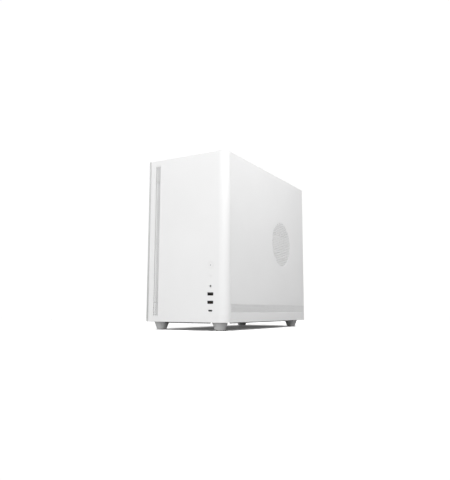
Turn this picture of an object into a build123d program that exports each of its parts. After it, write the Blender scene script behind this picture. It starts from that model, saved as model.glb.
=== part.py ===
from build123d import *
import math
import os

# A small white desktop computer tower: solid front with a narrow vent strip and
# a column of buttons and sockets, glass left side, steel right side.
# Row frame: origin on the floor under the middle of the case, +Z up,
# front face at -Y, +X to the right when facing the front. Millimetres.

# ---------------------------------------------------------------- driving sizes
CASE_W = 200.0          # over glass and right panel
CASE_D = 431.0          # front face to rear edge of the side panels
CASE_H = 359.0          # panels only
FOOT_H = 17.0           # panel bottom above the floor
SHEET = 1.0             # steel sheet
GLASS_T = 4.0           # tempered side glass
PANEL_T = 1.6           # front panel shell
PANEL_DEPTH = 20.0      # how far the front panel wraps back
CORNER_R = 18.0         # front right vertical edge
PAN_RECESS = 2.0        # bottom pan above the panel edge
REAR_RECESS = 8.0       # rear sheet in from the panel ends
FOOT_X, FOOT_YF, FOOT_YR = 74.3, -192.5, 183.5
FOOT_R_TOP, FOOT_R_BOT = 16.5, 10.0
LIP_Z, LIP_X, LIP_Y0, LIP_Y1 = 15.0, 57.0, -174.0, 165.0   # lip under the bottom pan
STRIP_X0, STRIP_X1 = -81.5, -69.5      # front vent strip
STRIP_Z0, STRIP_Z1 = 28.0, 364.0
IO_X = 64.0             # column of buttons and sockets
Z_POWER, Z_RESET, Z_AUDIO = 134.7, 112.1, 91.4
Z_USB_A1, Z_USB_A2, Z_USB_C = 75.2, 58.2, 41.2
POWER_R, RESET_R = 7.6, 2.9
POWER_TRAVEL, RESET_TRAVEL = 1.5, 1.0
SIDE_VENT_Y, SIDE_VENT_Z, SIDE_VENT_R = 66.5, 206.0, 56.0
SIDE_STRIP_Z0, SIDE_STRIP_Z1 = 37.5, 54.7
BOARD = 244.0           # micro-ATX board edge
FAN, FAN_T = 120.0, 25.0

XL, XR = -CASE_W / 2, CASE_W / 2
YF, YR = -CASE_D / 2, CASE_D / 2
ZB, ZT = FOOT_H, FOOT_H + CASE_H
PAN_Z = ZB + PAN_RECESS            # underside of the bottom pan
Y_REAR = YR - REAR_RECESS          # outer face of the rear sheet, 207.5
Y_FRAME = -190.0                   # inner face of the front frame
X_TRAY = 78.0                      # board side of the motherboard tray
X_PCB = 70.0                       # component face of the board
Z_SHROUD = 113.0                   # top of the power supply shroud
Z_PCB0 = 122.0                     # lower edge of the board
CPU_Y, CPU_Z = 100.0, 292.0
SLOT_Z = [130.5, 150.8, 171.1, 191.4]
GPU_Z = 191.4

parts = {}


def box(x0, x1, y0, y1, z0, z1):
    return Pos((x0 + x1) / 2, (y0 + y1) / 2, (z0 + z1) / 2) * Box(
        abs(x1 - x0), abs(y1 - y0), abs(z1 - z0)
    )


def cyl_x(r, x0, x1, y, z):
    return Pos((x0 + x1) / 2, y, z) * Rot(0, 90, 0) * Cylinder(r, abs(x1 - x0))


def cyl_y(r, y0, y1, x, z):
    return Pos(x, (y0 + y1) / 2, z) * Rot(90, 0, 0) * Cylinder(r, abs(y1 - y0))


def cyl_z(r, z0, z1, x, y):
    return Pos(x, y, (z0 + z1) / 2) * Cylinder(r, abs(z1 - z0))


def cone_z(r0, r1, z0, z1, x, y):
    return Pos(x, y, (z0 + z1) / 2) * Cone(r0, r1, z1 - z0)


def slot_y(w, h, y0, y1, x, z):
    """Rounded slot, w wide in X and h high in Z, cut along Y."""
    r = h / 2
    s = box(x - w / 2 + r, x + w / 2 - r, y0, y1, z - r, z + r)
    return s + cyl_y(r, y0, y1, x - w / 2 + r, z) + cyl_y(r, y0, y1, x + w / 2 - r, z)


def tube(points, r, radii):
    path = FilletPolyline(*points, radius=radii)
    start = path ^ 0
    return sweep(Plane(origin=path @ 0, z_dir=path % 0) * Circle(r), path=path)


# local fan: axis +Z, frame from 0 to FAN_T, struts and motor plate at the top
def fan_frame(size=FAN, t=FAN_T, bore=57.5):
    f = extrude(RectangleRounded(size, size, 5), t)
    f -= cyl_z(bore, -1, t + 1, 0, 0)
    h = size / 2 - 7.5
    for sx in (-1, 1):
        for sy in (-1, 1):
            f -= cyl_z(2.2, -1, t + 1, sx * h, sy * h)
    f += cyl_z(19, t - 3, t, 0, 0)
    for k in range(4):
        f += Rot(0, 0, 45 + 90 * k) * box(17, bore + 1.5, -2, 2, t - 3, t)
    return f


def fan_rotor(hub, tip, z0, z1, blades, chord, pitch):
    mid = (z0 + z1) / 2
    ring = cyl_z(tip, z0, z1, 0, 0)
    r = cyl_z(hub, z0, z1, 0, 0)
    for k in range(blades):
        b = Rot(0, 0, 360 / blades * k) * Pos((hub + tip) / 2, 0, mid) * Rot(pitch, 0, 0) * Box(
            tip - hub + 6, chord, 1.8
        )
        r += b & ring
    return r


FAN_TO_Y = Rot(-90, 0, 0)          # local +Z to +Y, local +Y to -Z


def place_y(shape, x, y, z):
    return Pos(x, y, z) * FAN_TO_Y * shape


# ---------------------------------------------------------------- bottom pan, feet
pan = box(-93, 92, -206.8, Y_FRAME, PAN_Z, PAN_Z + SHEET)
pan += box(-95, 98, Y_FRAME, Y_REAR - 1.1, PAN_Z, PAN_Z + SHEET)
pan -= box(-48, 48, 76, 196, PAN_Z - 1, PAN_Z + 2)
for s in (-1, 1):                  # filter rails, an L on each side
    xo, xi = s * 55.5, s * 52.6
    rail = box(min(xo, xi), max(xo, xi), 66, Y_REAR - 1.1, 14.6, PAN_Z)
    rail += box(min(s * 49, xo), max(s * 49, xo), 66, Y_REAR - 1.1, 14.6, 15.8)
    pan += rail
# bent-down stiffening lip between the feet, set in from the outer panels
lip_front = Polyline((0, -206.8, PAN_Z + 0.2), (0, -206.8, 17.8), (0, -203.4, LIP_Z), (0, -201.6, LIP_Z), (0, -201.6, PAN_Z + 0.2), close=True)
pan += Pos(-LIP_X, 0, 0) * extrude(make_face(lip_front), 2 * LIP_X, dir=(1, 0, 0))
for s in (-1, 1):
    lip = Polyline((s * 91.8, LIP_Y0, PAN_Z + 0.2), (s * 91.8, LIP_Y0, 17.8), (s * 88.4, LIP_Y0, LIP_Z), (s * 86.6, LIP_Y0, LIP_Z), (s * 86.6, LIP_Y0, PAN_Z + 0.2), close=True)
    pan += extrude(make_face(lip), LIP_Y1 - LIP_Y0, dir=(0, 1, 0))
parts["bottom_pan"] = pan

feet = []
for x in (-FOOT_X, FOOT_X):
    for y in (FOOT_YF, FOOT_YR):
        f = cone_z(FOOT_R_BOT, FOOT_R_TOP, 0, FOOT_H, x, y)
        f += cyl_z(FOOT_R_TOP, FOOT_H, PAN_Z, x, y)
        f -= cyl_z(3.2, -1, 9, x, y)      # screw well
        feet.append(f)
parts["feet"] = Compound(children=feet)

# the filter slides back between the rails
bf = box(-51.8, 51.8, 70, 206, 16.2, 18.6)
bf -= box(-46, 46, 78, 198, 17.2, 19)
bf += box(-20, 20, 206, 212, 16.2, 18.6)
parts["bottom_filter"] = bf

# ---------------------------------------------------------------- rear sheet
rear = box(-95, 98, Y_REAR - 1, Y_REAR, PAN_Z, ZT - 1.2)
cut0, cut1 = Y_REAR - 3, Y_REAR + 3
rear -= box(-70, 70, cut0, cut1, 24, 102)                 # power supply
rear -= box(27, 71.4, cut0, cut1, 200, 358.75)            # board sockets
for z in SLOT_Z:
    rear -= box(-45, 60, cut0, cut1, z - 6.3, z + 6.3)    # expansion slots
RFX, RFZ = -33.0, 300.0
rear -= cyl_y(56, cut0, cut1, RFX, RFZ)                   # rear fan vent
for sx in (-1, 1):
    for sz in (-1, 1):
        rear -= cyl_y(2.2, cut0, cut1, RFX + sx * 52.5, RFZ + sz * 52.5)
THUMB_X, THUMB_Z = 89.5, (60.0, 335.0)
for z in THUMB_Z:
    rear -= cyl_y(2.2, cut0, cut1, THUMB_X, z)
# left flange that holds the glass studs
rear += box(-95, -94, 192, Y_REAR - 1, PAN_Z + 1, ZT - 1.2)
STUDS = [(-184.0, 60.0), (-184.0, 367.5), (199.0, 60.0), (199.0, 367.5)]
for y, z in STUDS[2:]:
    rear -= cyl_x(3.3, -97, -92, y, z)
parts["rear_panel"] = rear

# ---------------------------------------------------------------- front frame
frame = box(-95, 98, Y_FRAME - 1, Y_FRAME, PAN_Z + SHEET, ZT - 1.2)
FFX, FFZ = -25.0, (182.0, 304.0)
for z in FFZ:
    frame -= cyl_y(56, Y_FRAME - 3, Y_FRAME + 3, FFX, z)
    for sx in (-1, 1):
        for sz in (-1, 1):
            frame -= cyl_y(2.2, Y_FRAME - 3, Y_FRAME + 3, FFX + sx * 52.5, z + sz * 52.5)
frame -= box(58, 74, Y_FRAME - 3, Y_FRAME + 3, 96, 116)    # lead pass-through
frame += box(-95, -94, Y_FRAME, -176, PAN_Z + SHEET, ZT - 1.2)
for y, z in STUDS[:2]:
    frame -= cyl_x(3.3, -97, -92, y, z)
for z in (34.0, 142.0):                                    # spacers for the socket board
    frame += cyl_y(2.5, -197.9, Y_FRAME - 1, IO_X - 7, z)
parts["front_frame"] = frame

# ---------------------------------------------------------------- tray and shroud
tray = box(X_TRAY, X_TRAY + SHEET, Y_FRAME + 0.2, Y_REAR - 1.2, Z_SHROUD, ZT - 2.2)
tray -= box(X_TRAY - 1, X_TRAY + 2, CPU_Y - 62, CPU_Y + 58, CPU_Z - 58, CPU_Z + 56)
tray -= box(X_TRAY - 1, X_TRAY + 2, -80, -48, 205, 320)
tray -= box(X_TRAY - 1, X_TRAY + 2, -80, -48, 130, 180)
parts["motherboard_tray"] = tray

shroud = box(-90, X_TRAY - 0.2, Y_FRAME + 0.2, Y_REAR - 1.2, Z_SHROUD - 1, Z_SHROUD)
shroud += box(-90, -89, Y_FRAME + 0.2, Y_REAR - 1.2, PAN_Z + 1, Z_SHROUD - 1)
shroud -= box(-80, -46, -72, -46, Z_SHROUD - 3, Z_SHROUD + 2)      # card cable
parts["psu_shroud"] = shroud

# ---------------------------------------------------------------- top
TF = (-62.0, 62.0, -80.0, 200.0)       # filter recess
top = box(-95.5, XR - SHEET - 0.2, YF + PANEL_DEPTH + 0.5, YR, ZT - SHEET, ZT)
top -= box(TF[0], TF[1], TF[2], TF[3], ZT - 3, ZT + 1)
ledge = box(TF[0] - 2, TF[1] + 2, TF[2] - 2, TF[3] + 2, ZT - 3.2, ZT - SHEET)
ledge -= box(TF[0], TF[1], TF[2], TF[3], ZT - 2.2, ZT)
ledge -= box(TF[0] + 8, TF[1] - 8, TF[2] + 8, 52, ZT - 5, ZT)
ledge -= box(TF[0] + 8, TF[1] - 8, 64, TF[3] - 8, ZT - 5, ZT)
parts["top_panel"] = top + ledge

tf = box(TF[0] + 0.4, TF[1] - 0.4, TF[2] + 0.4, TF[3] - 0.4, ZT - 2.1, ZT - 0.1)
tf -= box(TF[0] + 7, TF[1] - 7, TF[2] + 7, TF[3] - 7, ZT - 1.0, ZT + 1)
parts["top_filter"] = tf

# ---------------------------------------------------------------- front panel
YP = YF + PANEL_DEPTH
shell = box(-95, XR, YF, YP, ZB, ZT)
shell = fillet(shell.edges().filter_by(Axis.Z).group_by(Axis.Y)[0].sort_by(Axis.X)[-1], CORNER_R)
hollow = box(-95 + PANEL_T, XR - PANEL_T, YF + PANEL_T, YP + 5, ZB + PANEL_T, ZT - PANEL_T)
hollow = fillet(
    hollow.edges().filter_by(Axis.Z).group_by(Axis.Y)[0].sort_by(Axis.X)[-1], CORNER_R - PANEL_T
)
shell -= hollow
shell -= box(-95 + PANEL_T, XR - PANEL_T, -209.6, YP + 1, ZB - 1, ZB + PANEL_T + 0.1)   # room for the feet
shell -= box(STRIP_X0, STRIP_X1, YF - 1, YF + 3, STRIP_Z0, STRIP_Z1)
shell -= cyl_y(POWER_R + 0.25, YF - 1, YF + 3, IO_X, Z_POWER)
shell -= cyl_y(RESET_R + 0.2, YF - 1, YF + 3, IO_X, Z_RESET)
shell -= cyl_y(3.2, YF - 1, YF + 3, IO_X, Z_AUDIO)
for z in (Z_USB_A1, Z_USB_A2):
    shell -= box(IO_X - 7.0, IO_X + 7.0, YF - 1, YF + 3, z - 3.2, z + 3.2)
shell -= slot_y(9.6, 3.6, YF - 1, YF + 3, IO_X, Z_USB_C)
parts["front_panel"] = shell

parts["front_vent_mesh"] = box(
    STRIP_X0 + 0.05, STRIP_X1 - 0.05, YF + 0.2, YF + 1.2, STRIP_Z0 + 0.05, STRIP_Z1 - 0.05
)

pb = cyl_y(POWER_R, YF, YF + 3.2, IO_X, Z_POWER)
pb += cyl_y(POWER_R + 1.6, YF + PANEL_T + 0.15, YF + 3.2, IO_X, Z_POWER)
pb += cyl_y(2.0, YF + 3.2, -207.7, IO_X, Z_POWER)
pb -= cyl_y(1.0, YF - 1, YF + 1.6, IO_X, Z_POWER)
parts["power_button"] = pb
parts["power_led_lens"] = cyl_y(0.97, YF + 0.15, YF + 1.6, IO_X, Z_POWER)
rb = cyl_y(RESET_R, YF, YF + 3.0, IO_X, Z_RESET)
rb += cyl_y(RESET_R + 1.3, YF + PANEL_T + 0.15, YF + 3.0, IO_X, Z_RESET)
rb += cyl_y(1.4, YF + 3.0, -207.2, IO_X, Z_RESET)
parts["reset_button"] = rb

# socket board behind the panel, with its two micro switches
Y_IOB = -199.6
iob = box(IO_X - 10, IO_X + 10, Y_IOB, Y_IOB + 1.6, 30, 146)
for z in (Z_POWER, Z_RESET):
    iob += box(IO_X - 3, IO_X + 3, -204.2, Y_IOB, z - 3, z + 3)
    iob += cyl_y(1.2, -206.1, -204.2, IO_X, z)
parts["front_io_board"] = iob

aj = box(IO_X - 4, IO_X + 4, YF + 2.4, Y_IOB, Z_AUDIO - 4, Z_AUDIO + 4)
aj += cyl_y(3.0, YF + 0.1, YF + 2.4, IO_X, Z_AUDIO)
aj -= cyl_y(1.8, YF - 1, YF + 14.5, IO_X, Z_AUDIO)
parts["audio_jack"] = aj


def usb_a(x, y0, y1, z):
    """Shell 13.1 x 5.7 open at y0, with its tongue."""
    s = box(x - 6.57, x + 6.57, y0, y1, z - 2.86, z + 2.86)
    s -= box(x - 6.25, x + 6.25, y0 - 1, y1 - 1.5, z - 2.56, z + 2.56)
    s += box(x - 5.55, x + 5.55, y0 + 1.2, y1 - 1, z + 0.3, z + 2.14)
    return s


parts["usb_a_ports"] = Compound(
    children=[usb_a(IO_X, YF + 0.4, Y_IOB, z) for z in (Z_USB_A1, Z_USB_A2)]
)
uc = slot_y(9.1, 3.2, YF + 0.4, Y_IOB, IO_X, Z_USB_C)
uc -= slot_y(8.5, 2.6, YF - 1, Y_IOB - 6, IO_X, Z_USB_C)
uc += box(IO_X - 3.3, IO_X + 3.3, YF + 1.4, Y_IOB - 5.5, Z_USB_C - 0.35, Z_USB_C + 0.35)
parts["usb_c_port"] = uc

# ---------------------------------------------------------------- right side panel
SKIN = XR - SHEET
rp = box(SKIN, XR, YP + 0.5, YR, ZB, ZT)
rp -= cyl_x(SIDE_VENT_R, SKIN - 2, XR + 2, SIDE_VENT_Y, SIDE_VENT_Z)
rp -= box(SKIN - 2, XR + 2, YP + 2, YR - 2, SIDE_STRIP_Z0, SIDE_STRIP_Z1)
rp += box(86, SKIN, -187, 182, ZT - 4.6, ZT - 3.6)
rp += box(86, SKIN, -187, 182, PAN_Z + 1.2, PAN_Z + 2.2)
rp += box(81, SKIN, Y_REAR + 0.2, Y_REAR + 1.2, PAN_Z + 3, ZT - 5)
for z in THUMB_Z:
    rp -= cyl_y(2.0, Y_REAR - 1, Y_REAR + 3, THUMB_X, z)
parts["right_side_panel"] = rp
parts["side_round_mesh"] = cyl_x(SIDE_VENT_R - 0.05, SKIN, XR - 0.2, SIDE_VENT_Y, SIDE_VENT_Z)
parts["side_strip_mesh"] = box(
    SKIN, XR - 0.2, YP + 2.05, YR - 2.05, SIDE_STRIP_Z0 + 0.05, SIDE_STRIP_Z1 - 0.05
)
for name, z in (("thumb_screw_lower", THUMB_Z[0]), ("thumb_screw_upper", THUMB_Z[1])):
    t = cyl_y(5.5, Y_REAR + 1.4, YR - 0.6, THUMB_X, z)
    for k in range(12):
        a = math.radians(30 * k)
        t -= cyl_y(0.7, Y_REAR + 1.9, YR + 1, THUMB_X + 5.7 * math.cos(a), z + 5.7 * math.sin(a))
    t -= box(THUMB_X - 4.2, THUMB_X + 4.2, YR - 2.0, YR, z - 0.6, z + 0.6)
    t += cyl_y(1.7, Y_REAR - 6, Y_REAR + 1.4, THUMB_X, z)
    parts[name] = t

# ---------------------------------------------------------------- left glass
parts["glass_panel"] = box(XL, XL + GLASS_T, YF, YR, ZB, ZT)
studs = []
for y, z in STUDS:
    s = cyl_x(5.0, XL + GLASS_T, XL + GLASS_T + 0.8, y, z)
    s += cyl_x(2.0, XL + GLASS_T + 0.8, -92.6, y, z)
    s += Pos(-92.9, y, z) * Sphere(2.8)
    studs.append(s)
parts["glass_studs"] = Compound(children=studs)

# ---------------------------------------------------------------- power supply
PX0, PX1, PY0, PY1, PZ0, PZ1 = -75.0, 75.0, 66.5, 206.5, 20.0, 106.0
psu = box(PX0, PX1, PY0, PY1, PZ0, PZ1) - box(PX0 + 1, PX1 - 1, PY0 + 1, PY1 - 1, PZ0 + 1, PZ1 - 1)
psu -= cyl_z(58, PZ0 - 1, PZ0 + 2, 0, 136)
IN_X, IN_Z, SW_X = 40.0, 66.0, 8.0
psu -= box(IN_X - 14, IN_X + 14, PY1 - 3, PY1 + 1, IN_Z - 10, IN_Z + 10)
psu -= box(SW_X - 7, SW_X + 7, PY1 - 3, PY1 + 1, IN_Z - 10, IN_Z + 10)
for x, y in ((60, -1), (-40, -1)):      # cable outlets on the inner face
    psu -= box(x - 9, x + 9, PY0 - 1, PY0 + 2, 60, 86)
psu += cyl_z(16, PZ0 + 25, PZ1 - 1, 0, 136) - cyl_z(15, PZ0 + 24, PZ1 - 1, 0, 136)
parts["psu_housing"] = psu
parts["psu_fan_rotor"] = Pos(0, 136, 0) * fan_rotor(18, 55, PZ0 + 2.5, PZ0 + 20, 7, 20, 36)

inlet = box(IN_X - 13.8, IN_X + 13.8, PY1 - 17, PY1, IN_Z - 9.8, IN_Z + 9.8)
inlet += box(SW_X - 6.8, SW_X + 6.8, PY1 - 14, PY1, IN_Z - 9.8, IN_Z + 9.8)
inlet += box(SW_X - 9, IN_X + 17, PY1, PY1 + 1.6, IN_Z - 12, IN_Z + 12)
pocket = box(IN_X - 12.2, IN_X + 12.2, PY1 - 15, PY1 + 3, IN_Z - 8.3, IN_Z + 8.3)
pocket = chamfer(pocket.edges().filter_by(Axis.Y).group_by(Axis.Z)[-1], 4)
inlet -= pocket
for dx, dz in ((-7, -1.5), (0, 2.5), (7, -1.5)):
    inlet += box(IN_X + dx - 1, IN_X + dx + 1, PY1 - 16, PY1 - 4.5, IN_Z + dz - 2, IN_Z + dz + 2)
inlet -= box(SW_X - 5.3, SW_X + 5.3, PY1 - 11, PY1 + 3, IN_Z - 8.3, IN_Z + 8.3)
parts["psu_inlet"] = inlet
# rocker: turns about X at SW_Y; its face is a shallow V
SW_Y = PY1 - 4.0
prof = Polyline(
    (SW_Y - 3.5, IN_Z - 3), (SW_Y - 1.5, IN_Z - 7.0), (SW_Y + 6.2, IN_Z - 6.5),
    (SW_Y + 4.2, IN_Z), (SW_Y + 4.4, IN_Z + 7.4), (SW_Y - 1.5, IN_Z + 7.4),
    (SW_Y - 3.5, IN_Z + 3), close=True,
)
rocker = extrude(Plane.YZ.offset(SW_X - 5.0) * make_face(prof), 10.0)
parts["psu_switch"] = rocker

# ---------------------------------------------------------------- board
PY = (Y_REAR - 1.5 - BOARD, Y_REAR - 1.5)
pcb = box(X_PCB, X_PCB + 1.6, PY[0], PY[1], Z_PCB0, Z_PCB0 + BOARD)
HOLES = [(PY[1] - dy, Z_PCB0 + dz) for dy in (10.2, 165.1, 237.5) for dz in (6.4, 86.0, 238.8)]
for y, z in HOLES:
    pcb -= cyl_x(2.0, X_PCB - 1, X_PCB + 3, y, z)
parts["motherboard_pcb"] = pcb

fast = []
for y, z in HOLES:
    f = Pos((X_PCB + 1.6 + X_TRAY) / 2, y, z) * Rot(0, 90, 0) * extrude(
        RegularPolygon(3.0, 6), (X_TRAY - X_PCB - 1.6) / 2, both=True
    )
    f += cyl_x(1.6, X_PCB - 0.1, X_PCB + 2, y, z)
    f += cyl_x(2.9, X_PCB - 2.0, X_PCB, y, z)
    fast.append(f)
for x, z in ((-69, 98), (-73, 28), (73, 98), (73, 28)):
    x = max(-73.5, min(73.5, x))
    fast.append(cyl_y(3.4, Y_REAR, Y_REAR + 2.2, x, z if abs(x) > 72 else 106))
parts["case_screws"] = Compound(children=fast)

parts["cpu_socket"] = box(62, X_PCB, CPU_Y - 26, CPU_Y + 26, CPU_Z - 29, CPU_Z + 29)

DIMM_Y = (22.5, 32.0)
DZ0, DZ1 = 214.0, 352.0
slots, mods = [], []
for y in DIMM_Y:
    s = box(62, X_PCB, y - 3.2, y + 3.2, DZ0, DZ1)
    s -= box(61, 67.5, y - 0.8, y + 0.8, DZ0 + 2, DZ1 - 2)
    slots.append(s)
    m = box(34, 61.8, y - 3.6, y + 3.6, DZ0 + 2.5, DZ1 - 2.5)
    m += box(61.7, 67.2, y - 0.6, y + 0.6, DZ0 + 3, DZ1 - 3)
    mods.append(m)
parts["dimm_slots"] = Compound(children=slots)
parts["memory_modules"] = Compound(children=mods)
for name, y in (("dimm_latch_a", DIMM_Y[0]), ("dimm_latch_b", DIMM_Y[1])):
    l = box(57, 67.5, y - 2.6, y + 2.6, DZ1 + 0.5, DZ1 + 4.4)
    l += box(55.5, 58, y - 2.6, y + 2.6, DZ1 + 0.5, DZ1 + 8.0)
    parts[name] = l

vrm = [
    box(44, X_PCB, 62, 148, 336, 356),
    box(40, X_PCB, 150, 172, 236, 330),
]
parts["vrm_heatsinks"] = Compound(children=vrm)
parts["chipset_heatsink"] = box(62, X_PCB, -26, 26, 131, 181)

pcie = []
for z in (SLOT_Z[3], SLOT_Z[1]):
    s = box(59, X_PCB, 66, 155, z - 3.7, z + 3.7)
    s -= box(58, 67.5, 68, 153, z - 1.0, z + 1.0)
    pcie.append(s)
parts["pcie_slots"] = Compound(children=pcie)

# sockets along the board's rear edge, with the shield that closes the cut-out
YS = Y_REAR - 1.0
io = box(27.2, 69.6, YS, Y_REAR, 200.2, 358.5)


def port(x0, x1, z0, z1, deep, wall=0.8, proud=1.0):
    global io
    io += box(x0, x1, Y_REAR - deep, Y_REAR + proud, z0, z1)
    io -= box(x0 + wall, x1 - wall, Y_REAR - deep + 2, Y_REAR + proud + 1, z0 + wall, z1 - wall)


for z0 in (212, 262):                       # stacked USB pairs
    for x0 in (47.5, 57.5):
        port(x0, x0 + 5.8, z0, z0 + 13.2, 15, 0.35)
        io += box(x0 + 0.8, x0 + 2.6, Y_REAR - 14, Y_REAR - 0.5, z0 + 1.1, z0 + 12.1)
port(53.6, 69.4, 284, 300, 19, 1.9)         # network socket
for z0 in (306, 328):                       # video sockets
    port(57.5, 63.3, z0, z0 + 15.6, 12, 0.8)
    io += box(59.5, 61.3, Y_REAR - 11, Y_REAR - 1, z0 + 2.5, z0 + 13.1)
for x0 in (36, 49, 62):
    io += cyl_y(3.6, Y_REAR - 12, Y_REAR + 1.2, x0, 236)
    io -= cyl_y(1.8, Y_REAR - 10, Y_REAR + 2, x0, 236)
parts["rear_io_ports"] = io

pw = [
    box(57, X_PCB, PY[0] + 1, PY[0] + 11, 262, 314),
    box(58, X_PCB, 150, 168, 357.5, 365.5),
    box(61.5, X_PCB, PY[0] + 1, PY[0] + 6, 222, 242),
]
parts["board_power_sockets"] = Compound(children=pw)

# ---------------------------------------------------------------- processor cooler
base = box(54, 62, CPU_Y - 22, CPU_Y + 22, CPU_Z - 20, CPU_Z + 20)
PIPE_Y = [CPU_Y - 16.5, CPU_Y - 5.5, CPU_Y + 5.5, CPU_Y + 16.5]
PIPE_DZ = 38.0
pipes = []
for y in PIPE_Y:
    p = tube(
        [(-85, y, CPU_Z - PIPE_DZ), (57.5, y, CPU_Z - PIPE_DZ), (57.5, y, CPU_Z + PIPE_DZ), (-85, y, CPU_Z + PIPE_DZ)],
        3.0, 12,
    )
    pipes.append(p)
    base += p
parts["cooler_base"] = base
fins = box(-82, 36, CPU_Y - 25, CPU_Y + 25, CPU_Z - 60, CPU_Z + 60)
for y in PIPE_Y:
    for s in (-1, 1):
        fins -= cyl_x(3.05, -90, 40, y, CPU_Z + s * PIPE_DZ)
parts["cooler_fins"] = fins
CFX = -23.0
parts["cpu_fan_frame"] = place_y(fan_frame(), CFX, CPU_Y - 25 - FAN_T, CPU_Z)
ROTOR = fan_rotor(18.5, 56, 1.5, 21.0, 9, 24, 38)
parts["cpu_fan_rotor"] = place_y(ROTOR, CFX, CPU_Y - 25 - FAN_T, CPU_Z)

# ---------------------------------------------------------------- case fans
Y_RFAN = Y_REAR - 1.0 - FAN_T
parts["rear_fan_frame"] = place_y(fan_frame(), RFX, Y_RFAN, RFZ)
parts["rear_fan_rotor"] = place_y(ROTOR, RFX, Y_RFAN, RFZ)
parts["front_fan_frames"] = Compound(
    children=[place_y(fan_frame(), FFX, Y_FRAME, z) for z in FFZ]
)
parts["front_fan_rotor_lower"] = place_y(ROTOR, FFX, Y_FRAME, FFZ[0])
parts["front_fan_rotor_upper"] = place_y(ROTOR, FFX, Y_FRAME, FFZ[1])

# ---------------------------------------------------------------- graphics card
gb = box(-42, 56, -28, 203, GPU_Z - 0.8, GPU_Z + 0.8)
gb += box(56, 67, 70, 151, GPU_Z - 0.8, GPU_Z + 0.8)
gb += box(-48, 62, 204.2, 205.2, GPU_Z - 29.3, GPU_Z + 9)          # bracket
gb += box(-40, 50, 203, 204.2, GPU_Z - 0.8, GPU_Z + 0.8)
gb += box(-52, -42, -8, 12, GPU_Z - 0.8, GPU_Z + 8)                # power socket
parts["gpu_board"] = gb
GX0, GX1, GY0, GY1, GZ0 = -46.0, 55.0, -34.0, 198.0, 152.0
sh = box(GX0, GX1, GY0, GY1, GZ0, GPU_Z - 1.0)
sh = fillet(sh.edges().filter_by(Axis.Z), 6)
sh -= box(GX0 + 2, GX1 - 2, GY0 + 2, GY1 - 2, GZ0 + 2, GPU_Z + 1)
GFY = (27.0, 137.0)
GFX = (GX0 + GX1) / 2
for y in GFY:
    sh -= cyl_z(45, GZ0 - 1, GZ0 + 4, GFX, y)
parts["gpu_shroud"] = sh
parts["gpu_heatsink"] = box(GX0 + 3, GX1 - 3, GY0 + 3, GY1 - 3, 169.5, GPU_Z - 0.8)
for name, y in (("gpu_fan_rotor_a", GFY[0]), ("gpu_fan_rotor_b", GFY[1])):
    parts[name] = Pos(GFX, y, 0) * fan_rotor(14, 43, GZ0 + 1.5, GZ0 + 15, 11, 14, 40)

covers = []
for z in SLOT_Z[:2]:
    covers.append(box(-48, 62, 204.2, 205.2, z - 9.0, z + 9.0))
parts["slot_covers"] = Compound(children=covers)

# ---------------------------------------------------------------- storage
parts["solid_state_drive"] = box(-60, 10, -170, -70, Z_SHROUD, Z_SHROUD + 7)

# ---------------------------------------------------------------- internal cables
c24 = box(44, 57, PY[0] + 0.8, PY[0] + 11.2, 262, 314)
c24 += tube(
    [(44, -32.8, 288), (24, -32.8, 288), (24, -64, 288), (88, -64, 288), (88, -64, 73), (88, -14, 73), (60, 34, 73), (60, 69, 73)],
    5.0, [11, 11, 14, 22, 14, 20],
)
parts["cable_board_power"] = c24
cg = box(-66, -52, -8, 12, GPU_Z - 2, GPU_Z + 8)
cg += tube(
    [(-66, 2, 194.4), (-84, 2, 194.4), (-84, -58, 194.4), (-63, -58, 150), (-63, -58, 73), (-40, 30, 73), (-40, 69, 73)],
    3.5, [8, 14, 24, 20, 40],
)
parts["cable_gpu_power"] = cg
cf = tube(
    [(64, -198, 106), (64, -176, 106), (88, -150, 106), (88, -76.5, 106), (88, -76.5, 232), (58, -76.5, 232), (58, -30, 232)],
    2.5, [14, 14, 20, 12, 12],
)
cf -= box(50, 70, -38.6, -20, 220, 245)
cf += box(52, 61.5, -38.5, -32.5, 222.5, 241.5)
parts["cable_front_leads"] = cf

os.makedirs("parts", exist_ok=True)
for f in os.listdir("parts"):
    if f.endswith(".step"):
        os.remove(os.path.join("parts", f))
for name, shape in parts.items():
    shape.label = name
    export_step(shape, f"parts/{name}.step")
print(len(parts), "nodes")
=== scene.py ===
import math
import random

import bmesh
import bpy
import numpy as np
from mathutils import Matrix, Vector
from mathutils.geometry import delaunay_2d_cdt


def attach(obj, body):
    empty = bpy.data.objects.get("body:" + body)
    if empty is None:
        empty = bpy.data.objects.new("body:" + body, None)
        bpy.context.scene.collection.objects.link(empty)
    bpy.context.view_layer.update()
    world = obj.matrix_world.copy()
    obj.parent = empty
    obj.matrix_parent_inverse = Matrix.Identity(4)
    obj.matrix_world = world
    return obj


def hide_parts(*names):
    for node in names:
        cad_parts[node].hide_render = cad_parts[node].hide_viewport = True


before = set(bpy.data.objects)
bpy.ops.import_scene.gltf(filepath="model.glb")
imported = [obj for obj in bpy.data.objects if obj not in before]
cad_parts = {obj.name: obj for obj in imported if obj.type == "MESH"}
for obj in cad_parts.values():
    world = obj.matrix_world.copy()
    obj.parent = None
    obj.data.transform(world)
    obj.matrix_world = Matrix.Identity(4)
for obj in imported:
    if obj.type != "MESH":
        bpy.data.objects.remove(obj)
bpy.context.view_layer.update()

MM = 0.001
random.seed(7)

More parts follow.
